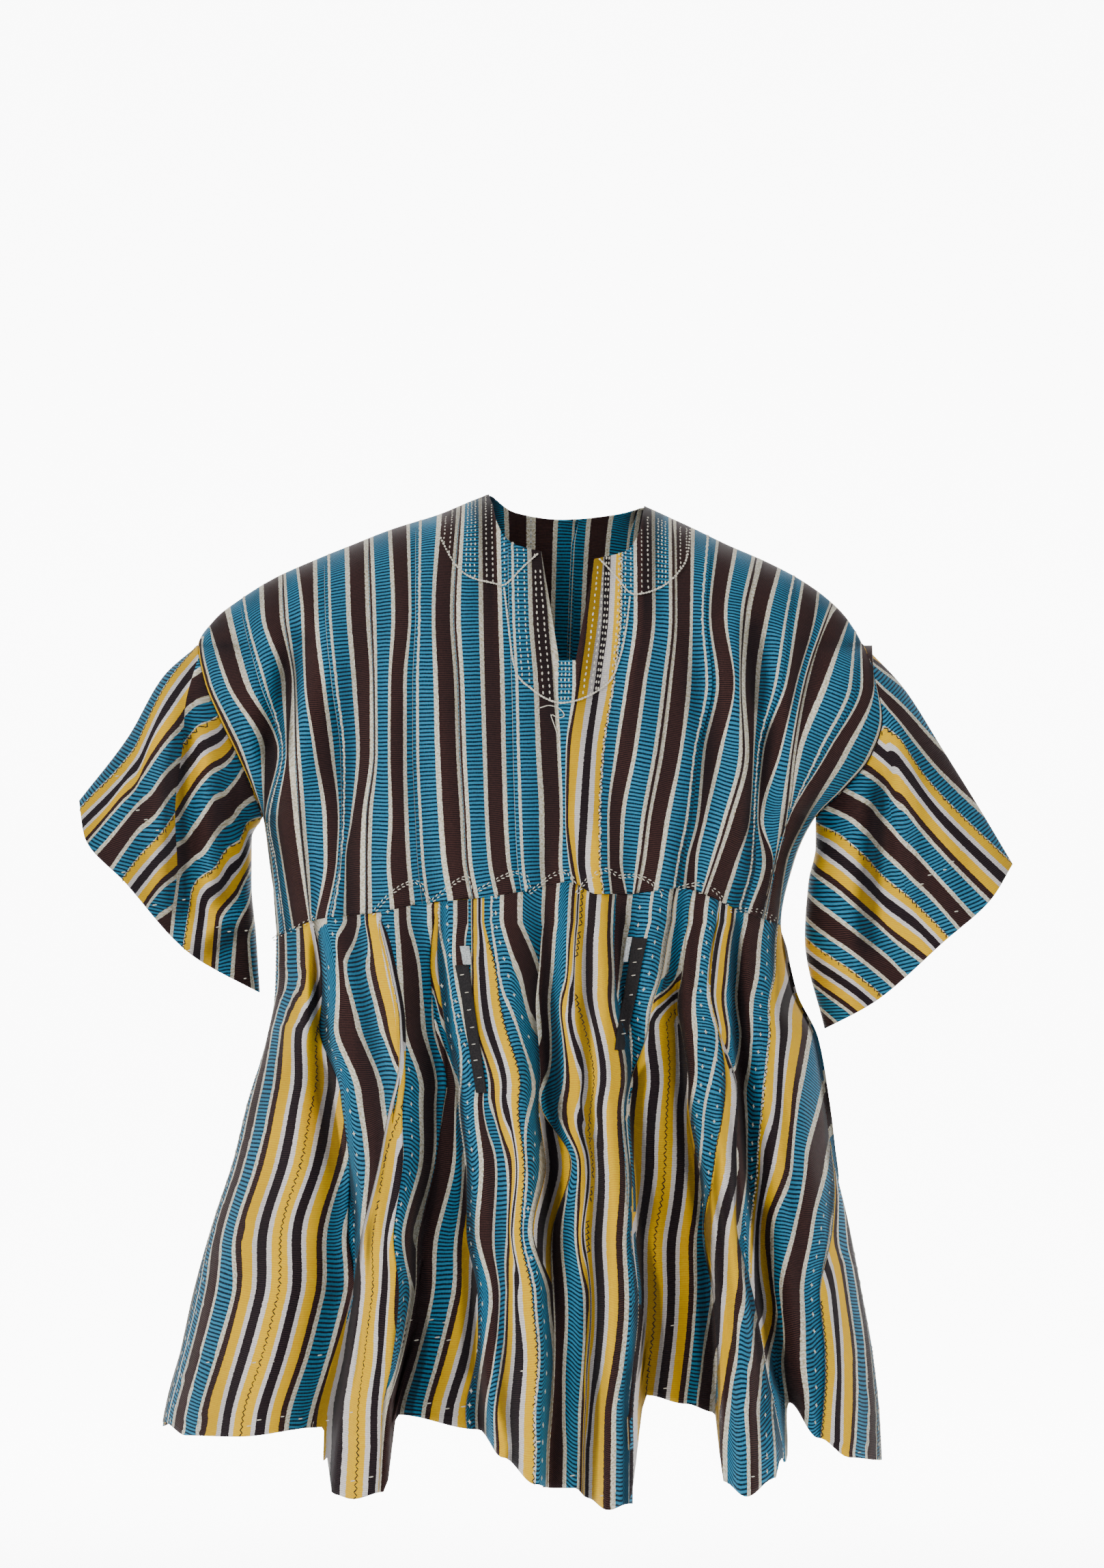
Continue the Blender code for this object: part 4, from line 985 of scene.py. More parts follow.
class Cloth:
    """A finished grid of points with the loom places u and v of its cells."""

    def __init__(self, points, u_left, u_right, v_left, v_right, closed=False):
        self.points = points
        self.u_left = u_left
        self.u_right = u_right
        self.v_left = v_left
        self.v_right = v_right
        self.closed = closed


def striped_columns(bands, place, surface):
    """Columns of a cloth made of bands side by side. Each band is its number of cells, its
    loom place u_at(share, height), and the tuck at its right edge: None where the cloth
    runs on, 0 at a flat seam, above 0 where the left side lies on top and below 0 where
    the right one does. place(band, share) gives where a column runs and its heights, and
    surface(across, height, rise) its points."""
    edges = [(place(k, 1.0), tuck) for k, (_, _, tuck) in enumerate(bands) if tuck]

    def fading(edge_height, height):
        return ease((edge_height[0] - height) / TUCK_FADE)

    def lifted(across, height):
        """Rise of the cloth towards the tucks beside it."""
        rise = np.zeros(np.shape(across))
        for (edge, edge_height), tuck in edges:
            side = np.where(across < edge, tuck, -tuck) * fading(edge_height, height)
            rise += side * np.exp(-(((across - edge) / TUCK_REACH) ** 2))
        return rise

    made = Columns()
    across, height = place(0, 0.0)
    made.add(surface(across, height, lifted(across, height)))
    fresh = True
    for band, (cells, u_at, tuck) in enumerate(bands):
        for step in range(cells):
            u_left = u_at(step / cells, height)
            across, height = place(band, (step + 1) / cells)
            rise = lifted(across - 0.01, height)
            made.add(surface(across - 0.01, height, rise), u_left,
                     u_at((step + 1) / cells, height), fresh)
            fresh = False
        if tuck is None or band == len(bands) - 1:
            continue
        fresh = True
        if not tuck:
            continue
        fade = fading(height, height)
        own = rise - tuck * fade
        u = u_at(1.0, height)
        u_after = bands[band + 1][1](0.0, height)
        offsets = [(-x * TUCK_DEPTH, out * tuck) for x, out in TUCK_PROFILE]
        if tuck < 0:
            offsets = [(x * TUCK_DEPTH, -out * tuck) for x, out in reversed(TUCK_PROFILE)]
        for k, (sideways, out) in enumerate(offsets[1:]):
            last = k == len(offsets) - 2
            u_next = u_after if last else u + (TUCK_SHOWN if k < 3 else -TUCK_SHOWN)
            made.add(surface(across + sideways * fade + 0.01 * k, height, own + out * fade),
                     u, u_next)
            u = u_next
    return made.cloth()


def cells_for(width, cell):
    """Number of cells of about the wanted width."""
    return max(1, int(round(abs(width) / cell)))


def crowded(share, first, last):
    """The share across a band where a column runs, closer together at a side edge."""
    if first:
        return share**SIDE_CROWDING
    return 1 - (1 - share) ** SIDE_CROWDING if last else share


def plain_band(u_start, u_end):
    """The loom place in a band whose cloth lies flat between two stripe lines."""
    return lambda share, height: u_start + (u_end - u_start) * share


def upper_edge(across):
    """Height of the front's upper edge: the shoulders outside the neck, the neck inside."""
    neck = np.interp(across, column(NECK_EDGE, 0), column(NECK_EDGE, 1))
    outside = (across < NECK_EDGE[0][0]) | (across > NECK_EDGE[-1][0])
    return float(np.where(outside, shoulder_height(np.asarray(across, float)), neck))


def bodice_line(number):
    """Start, start height, end and end height of a stripe line of the front bodice; the
    armholes are the lines before the first row of the table and after the last one."""
    if number < 0:
        return outline(-1, SHOULDER_END), SHOULDER_END, GATHER_FRONT[0][1]
    if number >= len(BODICE_STRIPES):
        return outline(1, SHOULDER_END), SHOULDER_END, GATHER_FRONT[-1][1]
    row = BODICE_STRIPES[number]
    start = float(seen_x(row[2]))
    height = SLIT_FOOT if number in SLIT_LINES else upper_edge(start)
    return start, height, float(gather_height(seen_x(row[-1])))


def bodice_line_across(number, height):
    """Where a stripe line of the front bodice runs at some heights."""
    if number < 0 or number >= len(BODICE_STRIPES):
        return outline(-1 if number < 0 else 1, height)
    start, start_height, end_height = bodice_line(number)
    row = BODICE_STRIPES[number]
    levels = [(z, x) for z, x in zip(seen_z(BODICE_LEVELS_Y), seen_x(row[3:8]))
              if z < start_height - 4]
    return through([start_height] + [z for z, _ in levels] + [end_height],
                   [start] + [x for _, x in levels] + [seen_x(row[-1])], height)


def bodice_place(band, share):
    """Where a column of the front bodice runs, and its heights. Band 0 lies left of the
    table's first line."""
    left, right = band - 1, band
    x0, start0, end0 = bodice_line(left)
    x1, start1, end1 = bodice_line(right)
    share = crowded(share, left < 0, right >= len(BODICE_STRIPES))
    start_x = x0 + (x1 - x0) * share
    start = start0 + (start1 - start0) * share
    if not (set(SLIT_LINES) & {left, right}) and 0 < share < 1:
        start = upper_edge(start_x)
    end = end0 + (end1 - end0) * share + GATHER_GAP / 2
    height = start + (end - start) * np.linspace(0, 1, BODICE_ROWS + 1) ** CROWDING
    before = bodice_line_across(left, height)
    after = np.maximum(bodice_line_across(right, height), before + 0.05)
    across = before * (1 - share) + after * share
    across[0] = start_x
    return across, height


def front_depth(across, height):
    """Seen depth of the front bodice's form."""
    fade = edge_fade(across, height)
    depth = body_depth(across, height) + creases(BODICE_CREASES, across, height) * fade
    near_gather = ease(1 - (height - gather_height(across)) / GATHER_REACH)
    return np.maximum(depth + gather_ripple(across) * near_gather * fade, 0.0)


def front_bodice_surface(across, height, rise):
    """Points of the front bodice."""
    return seen_to_real(across, height, front_depth(across, height) + SEAM_GAP / 2 + rise)


def front_bodice_cloth():
    """The front bodice, from the left armhole to the right one."""
    bands = []
    count = len(BODICE_STRIPES)
    for band in range(count + 1):
        u_start = FIRST_STRIPE_PLACE if band == 0 else BODICE_STRIPES[band - 1][1]
        u_end = LAST_STRIPE_PLACE if band == count else BODICE_STRIPES[band][0]
        width = abs(u_end - u_start) * (3.0 if band in (0, count) else 1.0)
        tuck = None
        if band < count and BODICE_STRIPES[band][0] != BODICE_STRIPES[band][1]:
            tuck = -BODICE_TUCK if band < MIDDLE_LINE else BODICE_TUCK
        if band < count and BODICE_STRIPES[band][:2] == (0.0, 83.5):
            tuck = 0.0
        bands.append((cells_for(width, BODICE_CELL), plain_band(u_start, u_end), tuck))
    return striped_columns(bands, bodice_place, front_bodice_surface)


def back_neck_height(across):
    """Height of the back bodice's upper edge: the shoulder lines and the neck's low curve."""
    neck = through(column(BACK_NECK, 0), column(BACK_NECK, 1), across)
    inside = (across > BACK_NECK[0][0]) & (across < BACK_NECK[-1][0])
    return np.where(inside, neck, shoulder_height(across))


def back_bodice_bands():
    """Bands of the back bodice with the place across where each ends: strips sewn with a
    tuck in the yellow and one in the teal, turned outwards from the middle."""
    half = []
    while sum(abs(b - a) for a, b, _ in half) < BACK_HALF_WIDTH:
        half += BACK_STRIP
    bands = [(b, a, True) for a, b, _ in reversed(half)]
    bands[-1] = (bands[-1][0], bands[-1][1], False)
    bands += half
    ends = np.cumsum([abs(b - a) for a, b, _ in bands])
    return bands, ends / ends[-1]


def back_bodice_cloth():
    """The back bodice, from the left armhole to the right one."""
    table, ends = back_bodice_bands()
    shoulders = [float(outline(side, SHOULDER_END)) for side in (-1, 1)]

    def place(band, share):
        start_share = ends[band - 1] if band else 0.0
        share = start_share + (ends[band] - start_share) * share
        top = shoulders[0] + (shoulders[1] - shoulders[0]) * share
        bottom = GATHER_BACK[0][0] + (GATHER_BACK[-1][0] - GATHER_BACK[0][0]) * share
        at_side = share < 1e-6 or share > 1 - 1e-6
        start = SHOULDER_END if at_side else float(back_neck_height(np.array(top)))
        end = float(through(column(GATHER_BACK, 0), column(GATHER_BACK, 1), bottom))
        end += GATHER_GAP / 2
        down = np.linspace(0, 1, BODICE_ROWS + 1)
        height = start + (end - start) * down**CROWDING
        centre, half, _, _ = section(height)
        side = 2 * share - 1
        weight = abs(side) ** 3
        across = (top + (bottom - top) * down) * (1 - weight) + (centre + side * half) * weight
        if at_side:
            across = outline(-1 if share < 0.5 else 1, height)
        across[0] = top
        return across, height

    def surface(across, height, rise):
        depth = body_depth(across, height, front=False)
        depth += creases(BACK_CREASES, across, height) * edge_fade(across, height)
        depth = np.maximum(depth, 0.0) + SEAM_GAP / 2 + rise
        return np.stack((across, depth, height), axis=-1)

    bands = []
    middle = len(table) // 2
    for k, (u_start, u_end, jump) in enumerate(table):
        tuck = None
        if jump and k < len(table) - 1:
            tuck = -BODICE_TUCK if k < middle else BODICE_TUCK
        bands.append((cells_for(u_end - u_start, BODICE_CELL), plain_band(u_start, u_end), tuck))
    return striped_columns(bands, place, surface)


def skirt_fold_form(across, height):
    """How far the folds of the front skirt stand out of the mean section."""
    table = np.array(SKIRT_FOLDS, float)
    lines, outs = [], []
    for number, row in enumerate(table):
        top = float(gather_height(row[0])) - GATHER_GAP / 2
        knots = [top] + list(SKIRT_LEVELS) + [row[6]]
        if number in (0, len(table) - 1):
            lines.append(outline(-1 if number == 0 else 1, height))
        else:
            lines.append(through(knots, row[:6], height))
        outs.append(through(knots, row[7:], height))
    lines, outs = np.array(lines), np.array(outs)
    before = np.clip(np.sum(lines <= across, axis=0) - 1, 0, len(table) - 2)[None]
    x0, x1 = (np.take_along_axis(lines, before + k, axis=0)[0] for k in (0, 1))
    out0, out1 = (np.take_along_axis(outs, before + k, axis=0)[0] for k in (0, 1))
    share = (across - x0) / np.maximum(x1 - x0, 1e-6)
    return out0 + (out1 - out0) * ease(share)


# The chart's lines along strips that are sewn with every other one turned round
CHART_LINES = sorted({2 * STRIP_WIDTH * repeat + way * across for repeat in range(-2, 4)
                      for way in (-1, 1) for across, _ in STRIP_CHART})


def written_out(level):
    """A level of a run with the number on the loom at each place."""
    pairs = []
    for place in level:
        if not isinstance(place, tuple):
            place = (place, next(u for u in CHART_LINES if u > pairs[-1][1] + 0.01))
        pairs.append(place)
    return pairs


SKIRT_RUNS = [[written_out(level) for level in run] for run in SKIRT_LINES]


def hem_height(across):
    """Height of the front skirt's hem."""
    places, heights = column(SKIRT_FOLDS, 5), column(SKIRT_FOLDS, 6)
    row = min(max(int(np.searchsorted(places, across)) - 1, 0), len(places) - 2)
    share = (across - places[row]) / (places[row + 1] - places[row])
    return heights[row] + (heights[row + 1] - heights[row]) * float(ease(share))


def run_edges(height):
    """Places of the edges of all runs of the front skirt at some heights."""
    levels = seen_z(SKIRT_HEIGHTS_Y)
    widths = [np.maximum(through(levels, seen_x(column([lv[-1] for lv in run], 0))
                                 - seen_x(column([lv[0] for lv in run], 0)), height), 0.02)
              for run in SKIRT_RUNS]
    edges = np.concatenate((np.zeros((1, len(height))), np.cumsum(widths, axis=0)))
    left, right = outline(-1, height), outline(1, height)
    return left + edges / edges[-1] * (right - left)


def skirt_run_place(band, share):
    """Where a column of the front skirt runs, and its heights."""
    last = len(SKIRT_RUNS) - 1
    share = crowded(share, band == 0, band == last)

    def across_at(height):
        edges = run_edges(height)
        return edges[band] * (1 - share) + edges[band + 1] * share

    top, hem = -345.0, -790.0
    for _ in range(4):
        top = float(gather_height(across_at(np.array([top]))[0])) - GATHER_GAP / 2
        hem = hem_height(across_at(np.array([hem]))[0])
    height = np.linspace(top, hem, SKIRT_ROWS + 1)
    return across_at(height), height


def run_band(number):
    """The loom place in a run of the front skirt. Where an outer run turns away to the side,
    the cloth keeps its own width instead of the width that is seen."""
    levels = seen_z(SKIRT_HEIGHTS_Y)
    last = len(SKIRT_RUNS) - 1

    def seen_u(share, height):
        values = []
        for level in SKIRT_RUNS[number]:
            places, u = column(level, 0), column(level, 1)
            values.append(np.interp(places[0] + (places[-1] - places[0]) * share, places, u))
        return through(levels, values, height)

    def turned_u(share, height):
        inner, way = (1.0, -1.0) if number == 0 else (0.0, 1.0)
        share = crowded(share, number == 0, number == last)
        edges = run_edges(height)
        steps = inner + (share - inner) * np.sin(np.linspace(0, math.pi / 2, TURN_STEPS))
        across = edges[number] + (edges[number + 1] - edges[number]) * steps[:, None]
        depth = np.array([body_depth(row, height) for row in across])
        u = np.array([seen_u(step, height) for step in steps])
        seen = np.abs(np.diff(u, axis=0))
        real = np.hypot(np.diff(across, axis=0), np.diff(depth, axis=0))
        wide = np.where(real > TURNED_FROM * seen, TURNED_CLOTH * real, seen)
        return u[0] + way * np.sum(wide, axis=0)

    return turned_u if number in (0, last) else seen_u


def front_skirt_surface(across, height, rise):
    """Points of the front skirt."""
    depth = body_depth(across, height)
    depth += skirt_fold_form(across, height) * edge_fade(across, height, SKIRT_FADE)
    return seen_to_real(across, height, np.maximum(depth, 0.0) + SEAM_GAP / 2 + rise)


def front_skirt_cloth():
    """The front skirt, from the left side seam to the right one."""
    bands = []
    last = len(SKIRT_RUNS) - 1
    for number, run in enumerate(SKIRT_RUNS):
        widest = max(level[-1][0] - level[0][0] for level in run) / PIXELS_PER_MM
        tuck = SKIRT_TUCKS[number] if number < last else None
        bands.append((cells_for(widest, SKIRT_CELL), run_band(number), tuck))
    return striped_columns(bands, skirt_run_place, front_skirt_surface)


def back_skirt_cloth():
    """The back skirt, from the left side seam to the right one. Round each ridge the strips
    keep their width, and the valleys show more of the cloth further down."""
    table = np.array(BACK_FOLDS, float)
    valleys = [0] + [k for k in range(1, len(table) - 1) if table[k, 2] < 0] + [len(table) - 1]
    width = GATHER_BACK[-1][0] - GATHER_BACK[0][0]

    def at_turn(turn, values):
        row = np.clip(np.searchsorted(table[:, 0], turn, side="right") - 1, 0, len(table) - 2)
        share = (turn - table[row, 0]) / (table[row + 1, 0] - table[row, 0])
        return values[row] + (values[row + 1] - values[row]) * ease(share)

    def place(band, share):
        turn = table[valleys[band], 0]
        turn += (table[valleys[band + 1], 0] - turn) * share
        top_x = GATHER_BACK[0][0] + width * (0.5 - 0.5 * math.cos(math.pi * turn))
        top = float(through(column(GATHER_BACK, 0), column(GATHER_BACK, 1), top_x))
        height = np.linspace(top - GATHER_GAP / 2, float(at_turn(turn, table[:, 4])),
                             SKIRT_ROWS + 1)
        return np.full(len(height), turn * BACK_HEM_ROUND), height

    def surface(across, height, rise):
        turn = np.clip(across / BACK_HEM_ROUND, 0.0, 1.0)
        down = np.clip((height - height[0]) / (height[-1] - height[0]), 0.0, 1.0)
        gather, half_way, hem = (at_turn(turn, table[:, k]) for k in (1, 2, 3))
        out = np.where(down < 0.5, gather + (half_way - gather) * ease(down * 2),
                       half_way + (hem - half_way) * ease(down * 2 - 1))
        centre, half, _, back = section(height)
        angle = math.pi * (1 - turn)
        cosine = np.cos(angle)
        depth = back * np.maximum(0.0, 1 - np.abs(cosine) ** ROUNDNESS) ** 0.5
        reach = out * ease(np.minimum(turn, 1 - turn) / 0.07) + rise
        return np.stack((centre + half * cosine + reach * cosine * 0.7,
                         depth + reach * np.sin(angle) + SEAM_GAP / 2, height), axis=-1)

    def ridge_band(band):
        start, end = valleys[band], valleys[band + 1]
        ridge = table[(start + end) // 2, 0]

        def u_at(share, height):
            turn = table[start, 0] + (table[end, 0] - table[start, 0]) * share
            down = (height[0] - height) / (height[0] - height[-1])
            round_here = BACK_GATHER_ROUND + (BACK_HEM_ROUND - BACK_GATHER_ROUND) * down
            return ridge * BACK_CLOTH + (turn - ridge) * round_here

        return u_at

    bands = []
    for band in range(len(valleys) - 1):
        span = (table[valleys[band + 1], 0] - table[valleys[band], 0]) * BACK_HEM_ROUND
        tuck = None if band == len(valleys) - 2 else (-0.8 if band % 2 else 0.8)
        bands.append((cells_for(span, SKIRT_CELL * 1.3), ridge_band(band), tuck))
    return striped_columns(bands, place, surface)


def sleeve_points(name, turn, t):
    """Points of a sleeve at one share of the way from the armhole to the cuff, by the turn
    round it from its upper line over the front."""
    lines = SLEEVE_OUTLINES[name]
    side = lines["side"]
    down = (1 - np.cos(turn)) / 2
    armhole_height = SHOULDER_END + (UNDERARM - SHOULDER_END) * down
    armhole = np.stack((outline(side, armhole_height), armhole_height), axis=-1)
    slope = (outline(side, armhole_height + 1) - outline(side, armhole_height - 1)) / 2
    gap = side * (ARMHOLE_GAP + UNDERARM_GAP * ease((down - 0.6) / 0.4)) / np.hypot(1, slope)
    cuff = polyline(lines["cuff"], down)
    ends = [np.array(lines[key][end], float) for key, end in
            (("top", 0), ("low", 0), ("top", -1), ("low", -1))]
    top = polyline(lines["top"], np.array([t]))[0]
    low = polyline(lines["low"], np.array([t]))[0]
    upper = (1 - t) * ends[0] + t * ends[2]
    lower = (1 - t) * ends[1] + t * ends[3]
    flat = (1 - t) * armhole + t * cuff
    flat += (1 - down)[:, None] * (top - upper) + down[:, None] * (low - lower)
    half_depth = ARM_HALF_DEPTH + (CUFF_HALF_DEPTH - ARM_HALF_DEPTH) * t
    swing = np.sin(turn)
    rise = creases(SLEEVE_CREASES[name], flat[:, 0], flat[:, 1])
    rise = rise * ease(t / 0.25) * np.where(swing > 0, 1.0, 0.6)
    depth = (half_depth + rise) * swing
    real = seen_to_real(flat[:, 0], flat[:, 1], np.maximum(depth, 0.0))
    return np.stack((real[:, 0] + gap, -depth, real[:, 2] - gap * slope), axis=-1)


def sleeve_cloth(name):
    """A whole sleeve as a closed ring of columns from armhole to cuff. Its front has two
    parts, above and below the fold edge that runs from armhole to cuff."""
    stripes = SLEEVE_STRIPES[name]
    cuts = column(stripes, 0)
    along = np.linspace(0.0, 1.0, SLEEVE_ROWS + 1)
    fold = np.arccos(1 - 2 * through(cuts, column(stripes, 1), along))
    fold_at_cuts = np.arccos(1 - 2 * np.array(column(stripes, 1)))
    made = Columns()
    turns, left, right, fresh = [], [], [], []

    def front_u(part, share):
        values = []
        for cut, (_, _, above, below) in enumerate(stripes):
            start, end = (0.0, fold_at_cuts[cut]) if part == 0 else (fold_at_cuts[cut], math.pi)
            down = (1 - math.cos(start + (end - start) * share)) / 2
            table = (above, below)[part]
            values.append(np.interp(down, column(table, 0), column(table, 1)))
        return through(cuts, values, along)

    top_u = front_u(0, 0.0)
    for part, (start, end) in enumerate(((0 * fold, fold), (fold, 0 * fold + math.pi))):
        for step in range(SLEEVE_CELLS):
            share, following = step / SLEEVE_CELLS, (step + 1) / SLEEVE_CELLS
            turns.append(start + (end - start) * share)
            left.append(front_u(part, share))
            right.append(front_u(part, following))
            fresh.append(step == 0)
    around = SLEEVE_ARMHOLE_ROUND + (SLEEVE_CUFF_ROUND - SLEEVE_ARMHOLE_ROUND) * along
    for step in range(2 * SLEEVE_CELLS):
        turn, following = (math.pi * (1 + (step + k) / (2 * SLEEVE_CELLS)) for k in (0, 1))
        turns.append(np.full(len(along), turn))
        left.append(top_u - around * (1 - math.cos(turn)) / 2)
        right.append(top_u - around * (1 - math.cos(following)) / 2)
        fresh.append(step == 0)
    turns = np.array(turns + turns[:1])
    rows = [sleeve_points(name, turns[:, k], t) for k, t in enumerate(along)]
    points = np.array(rows).transpose(1, 0, 2)
    made.add(points[0])
    for k in range(len(left)):
        made.add(points[k + 1], left[k], right[k], fresh[k])
    cloth = made.cloth()
    cloth.points = cloth.points[:-1]
    cloth.closed = True
    return cloth


def cloth_mesh(name, cloth, flipped=False):
    """The mesh of a cloth in metres, with its loom places as the UV map 'loom', and how far
    each point stands out of its surroundings as the attribute 'lit'."""
    points = cloth.points
    count, rows = points.shape[:2]
    cells = count if cloth.closed else count - 1
    i, j = np.meshgrid(np.arange(cells), np.arange(rows - 1), indexing="ij")
    after = (i + 1) % count
    corners = [i * rows + j, i * rows + j + 1, after * rows + j + 1, after * rows + j]
    u = [cloth.u_left[i, j], cloth.u_left[i, j + 1], cloth.u_right[i, j + 1],
         cloth.u_right[i, j]]
    v = [cloth.v_left[i, j], cloth.v_left[i, j + 1], cloth.v_right[i, j + 1],
         cloth.v_right[i, j]]
    if flipped:
        corners, u, v = corners[::-1], u[::-1], v[::-1]
    faces = np.stack([c.ravel() for c in corners], axis=1)
    mesh = bpy.data.meshes.new(name)
    mesh.from_pydata((points.reshape(-1, 3) * MM).tolist(), [], faces.tolist())
    loom = mesh.uv_layers.new(name="loom")
    uv = np.stack((np.stack([c.ravel() for c in u], axis=1).ravel(),
                   np.stack([c.ravel() for c in v], axis=1).ravel()), axis=1)
    loom.data.foreach_set("uv", uv.ravel())
    forward = -points[..., 1] if points[..., 1].mean() < 0 else points[..., 1]
    around = forward.copy()
    for shift in range(1, LIT_REACH + 1):
        around += np.roll(forward, shift, axis=0) + np.roll(forward, -shift, axis=0)
    lit = np.clip((forward - around / (2 * LIT_REACH + 1)) / LIT_HEIGHT, -1, 1)
    attribute = mesh.attributes.new("lit", "FLOAT", "POINT")
    attribute.data.foreach_set("value", lit.ravel())
    mesh.shade_smooth()
    return mesh


def show(name, mesh, material, wall=None):
    """A piece of the object with its material, given thickness where it is cloth."""
    piece = bpy.data.objects.new(name, mesh)
    mesh.materials.clear()
    mesh.materials.append(material)
    bpy.context.scene.collection.objects.link(piece)
    if wall:
        thick = piece.modifiers.new("cloth thickness", "SOLIDIFY")
        thick.thickness = wall * MM
        thick.offset = 0.0
        thick.use_even_offset = False
    return piece


class Stitches:
    """Stitches to be laid on a cloth: a place, a direction, the way out of the cloth, and
    the length, width and height of each."""

    def __init__(self):
        self.rows = []

    def add(self, place, along, out, size, lift=0.5):
        along = along / max(np.linalg.norm(along), 1e-9)
        out = out / max(np.linalg.norm(out), 1e-9)
        self.rows.append((place + out * lift, along, out, size))

    def on_line(self, cloth, value, spacing, make, outward):
        """Stitches where a cloth's u has a value, one each time v passes another spacing.
        make(count) gives the turn, the shift across, and the size of a stitch."""
        left, right = cloth.u_left - value, cloth.u_right - value
        width = np.abs(right - left)
        points = cloth.points
        count = points.shape[0]
        for i, j in zip(*np.nonzero((left[:, :-1] * right[:, :-1] <= 0)
                                    & (width[:, :-1] > 1e-6))):
            following = (i + 1) % count
            across = points[following, j] - points[i, j]
            if np.linalg.norm(across) < SQUEEZED * width[i, j]:
                continue
            ends, v = [], []
            for row in (j, j + 1):
                span = right[i, row] - left[i, row]
                share = np.clip(-left[i, row] / span, 0, 1) if abs(span) > 1e-6 else 0.5
                ends.append(points[i, row] * (1 - share) + points[following, row] * share)
                v.append(cloth.v_left[i, row] * (1 - share) + cloth.v_right[i, row] * share)
            along = ends[1] - ends[0]
            out = np.cross(along, across) * outward
            for number in range(math.floor(v[0] / spacing) + 1,
                                math.floor(v[1] / spacing) + 1):
                way = (number * spacing - v[0]) / max(v[1] - v[0], 1e-9)
                turn, shift, size = make(number)
                side = across / np.linalg.norm(across)
                way_along = along / max(np.linalg.norm(along), 1e-9)
                direction = way_along * math.cos(turn) + side * math.sin(turn)
                self.add(ends[0] + along * way + side * shift, direction, out, size)


def zigzag(number):
    """A black overlock stitch, leaning to one side and then to the other."""
    way = 1 if number % 2 else -1
    return way * 0.75, way * 0.3, ZIGZAG_STITCH


def bump(number):
    """A knot of the thick cream seam between two teal edges."""
    return 0.25 * math.sin(number * 2.1), 0.5 * math.sin(number * 1.7), SEAM_KNOT


def tick(number):
    """The upright half of a small cream cross woven beside the seam."""
    return 0.1, 0.0, CROSS_UPRIGHT


def cross_tick(number):
    """The level half of a small cream cross woven beside the seam."""
    return 1.5, 0.0, CROSS_LEVEL


STITCH_KINDS = {"zigzag": zigzag, "bump": bump, "tick": tick, "cross tick": cross_tick}


def lay_seams(stitches, cloth, pattern, outward):
    """All stitches that follow the strips' edges: the zigzags, and where strips are turned
    round also the cream seams and the small crosses beside them."""
    low = min(cloth.u_left.min(), cloth.u_right.min())
    high = max(cloth.u_left.max(), cloth.u_right.max())
    for offset, period, spacing, make, thread in pattern:
        start = math.ceil((low - offset) / period)
        for k in range(start, math.floor((high - offset) / period) + 1):
            stitches[thread].on_line(cloth, offset + k * period, spacing, STITCH_KINDS[make],
                                     outward)


class Socket:
    """A shader socket that can be written in sums, as in 1 - mask * 0.5."""

    def __init__(self, tree, output):
        self.tree = tree
        self.output = output

    def node(self, kind, settings=(), inputs=(), output=0):
        """Any other node: its type, its settings, then its values or links."""
        made = self.tree.nodes.new(kind)
        for name, value in dict(settings).items():
            setattr(made, name, value)
        for name, value in dict(inputs).items():
            if isinstance(value, Socket):
                self.tree.links.new(value.output, made.inputs[name])
            else:
                made.inputs[name].default_value = value
        return Socket(self.tree, made.outputs[output])

    def math(self, operation, first, second=0.0, third=0.0):
        return self.node("ShaderNodeMath", {"operation": operation},
                         {0: first, 1: second, 2: third})

    def __add__(self, other):
        return self.math("ADD", self, other)

    __radd__ = __add__

    def __sub__(self, other):
        return self.math("SUBTRACT", self, other)

    def __rsub__(self, other):
        return self.math("SUBTRACT", other, self)

    def __mul__(self, other):
        return self.math("MULTIPLY", self, other)

    __rmul__ = __mul__

    def __truediv__(self, other):
        return self.math("DIVIDE", self, other)

    def wave(self, pitch):
        """A wave between 0 and 1 with a crest every so many millimetres."""
        return self.math("SINE", self * (2 * math.pi / pitch)) * 0.5 + 0.5

    def between(self, low, high):
        """0 below low, 1 above high, and smooth between them."""
        return self.node("ShaderNodeMapRange", {"interpolation_type": "SMOOTHSTEP"},
                         {"Value": self, "From Min": low, "From Max": high})

    def mix(self, low, high):
        """The colour low where this is 0, and high where it is 1."""
        return self.node("ShaderNodeMix", {"data_type": "RGBA"},
                         {0: self, 6: low, 7: high}, output=2)


def new_material(name):
    """A material with its Principled shader, and a socket to start sums from."""
    material = bpy.data.materials.new(name)
    material.use_nodes = True
    shader = material.node_tree.nodes["Principled BSDF"]
    shader.inputs["Metallic"].default_value = 0.0
    return material, shader, Socket(material.node_tree, None)


def colour(code):
    """A linear colour from a hex code."""
    parts = [int(code[k:k + 2], 16) / 255 for k in (1, 3, 5)]
    return (*[p / 12.92 if p <= 0.04045 else ((p + 0.055) / 1.055) ** 2.4 for p in parts], 1.0)


def chart_ramp(start, place, colours):
    """The chart of the strip as one colour ramp of sharp bands."""
    ramp = start.node("ShaderNodeValToRGB", (), {0: place})
    elements = ramp.output.node.color_ramp
    elements.interpolation = "CONSTANT"
    while len(elements.elements) > 1:
        elements.elements.remove(elements.elements[-1])
    for number, (across, name) in enumerate(STRIP_CHART):
        stop = elements.elements[0] if number == 0 else elements.elements.new(
            across / STRIP_WIDTH)
        stop.position = across / STRIP_WIDTH
        stop.color = colours[name]
    return ramp


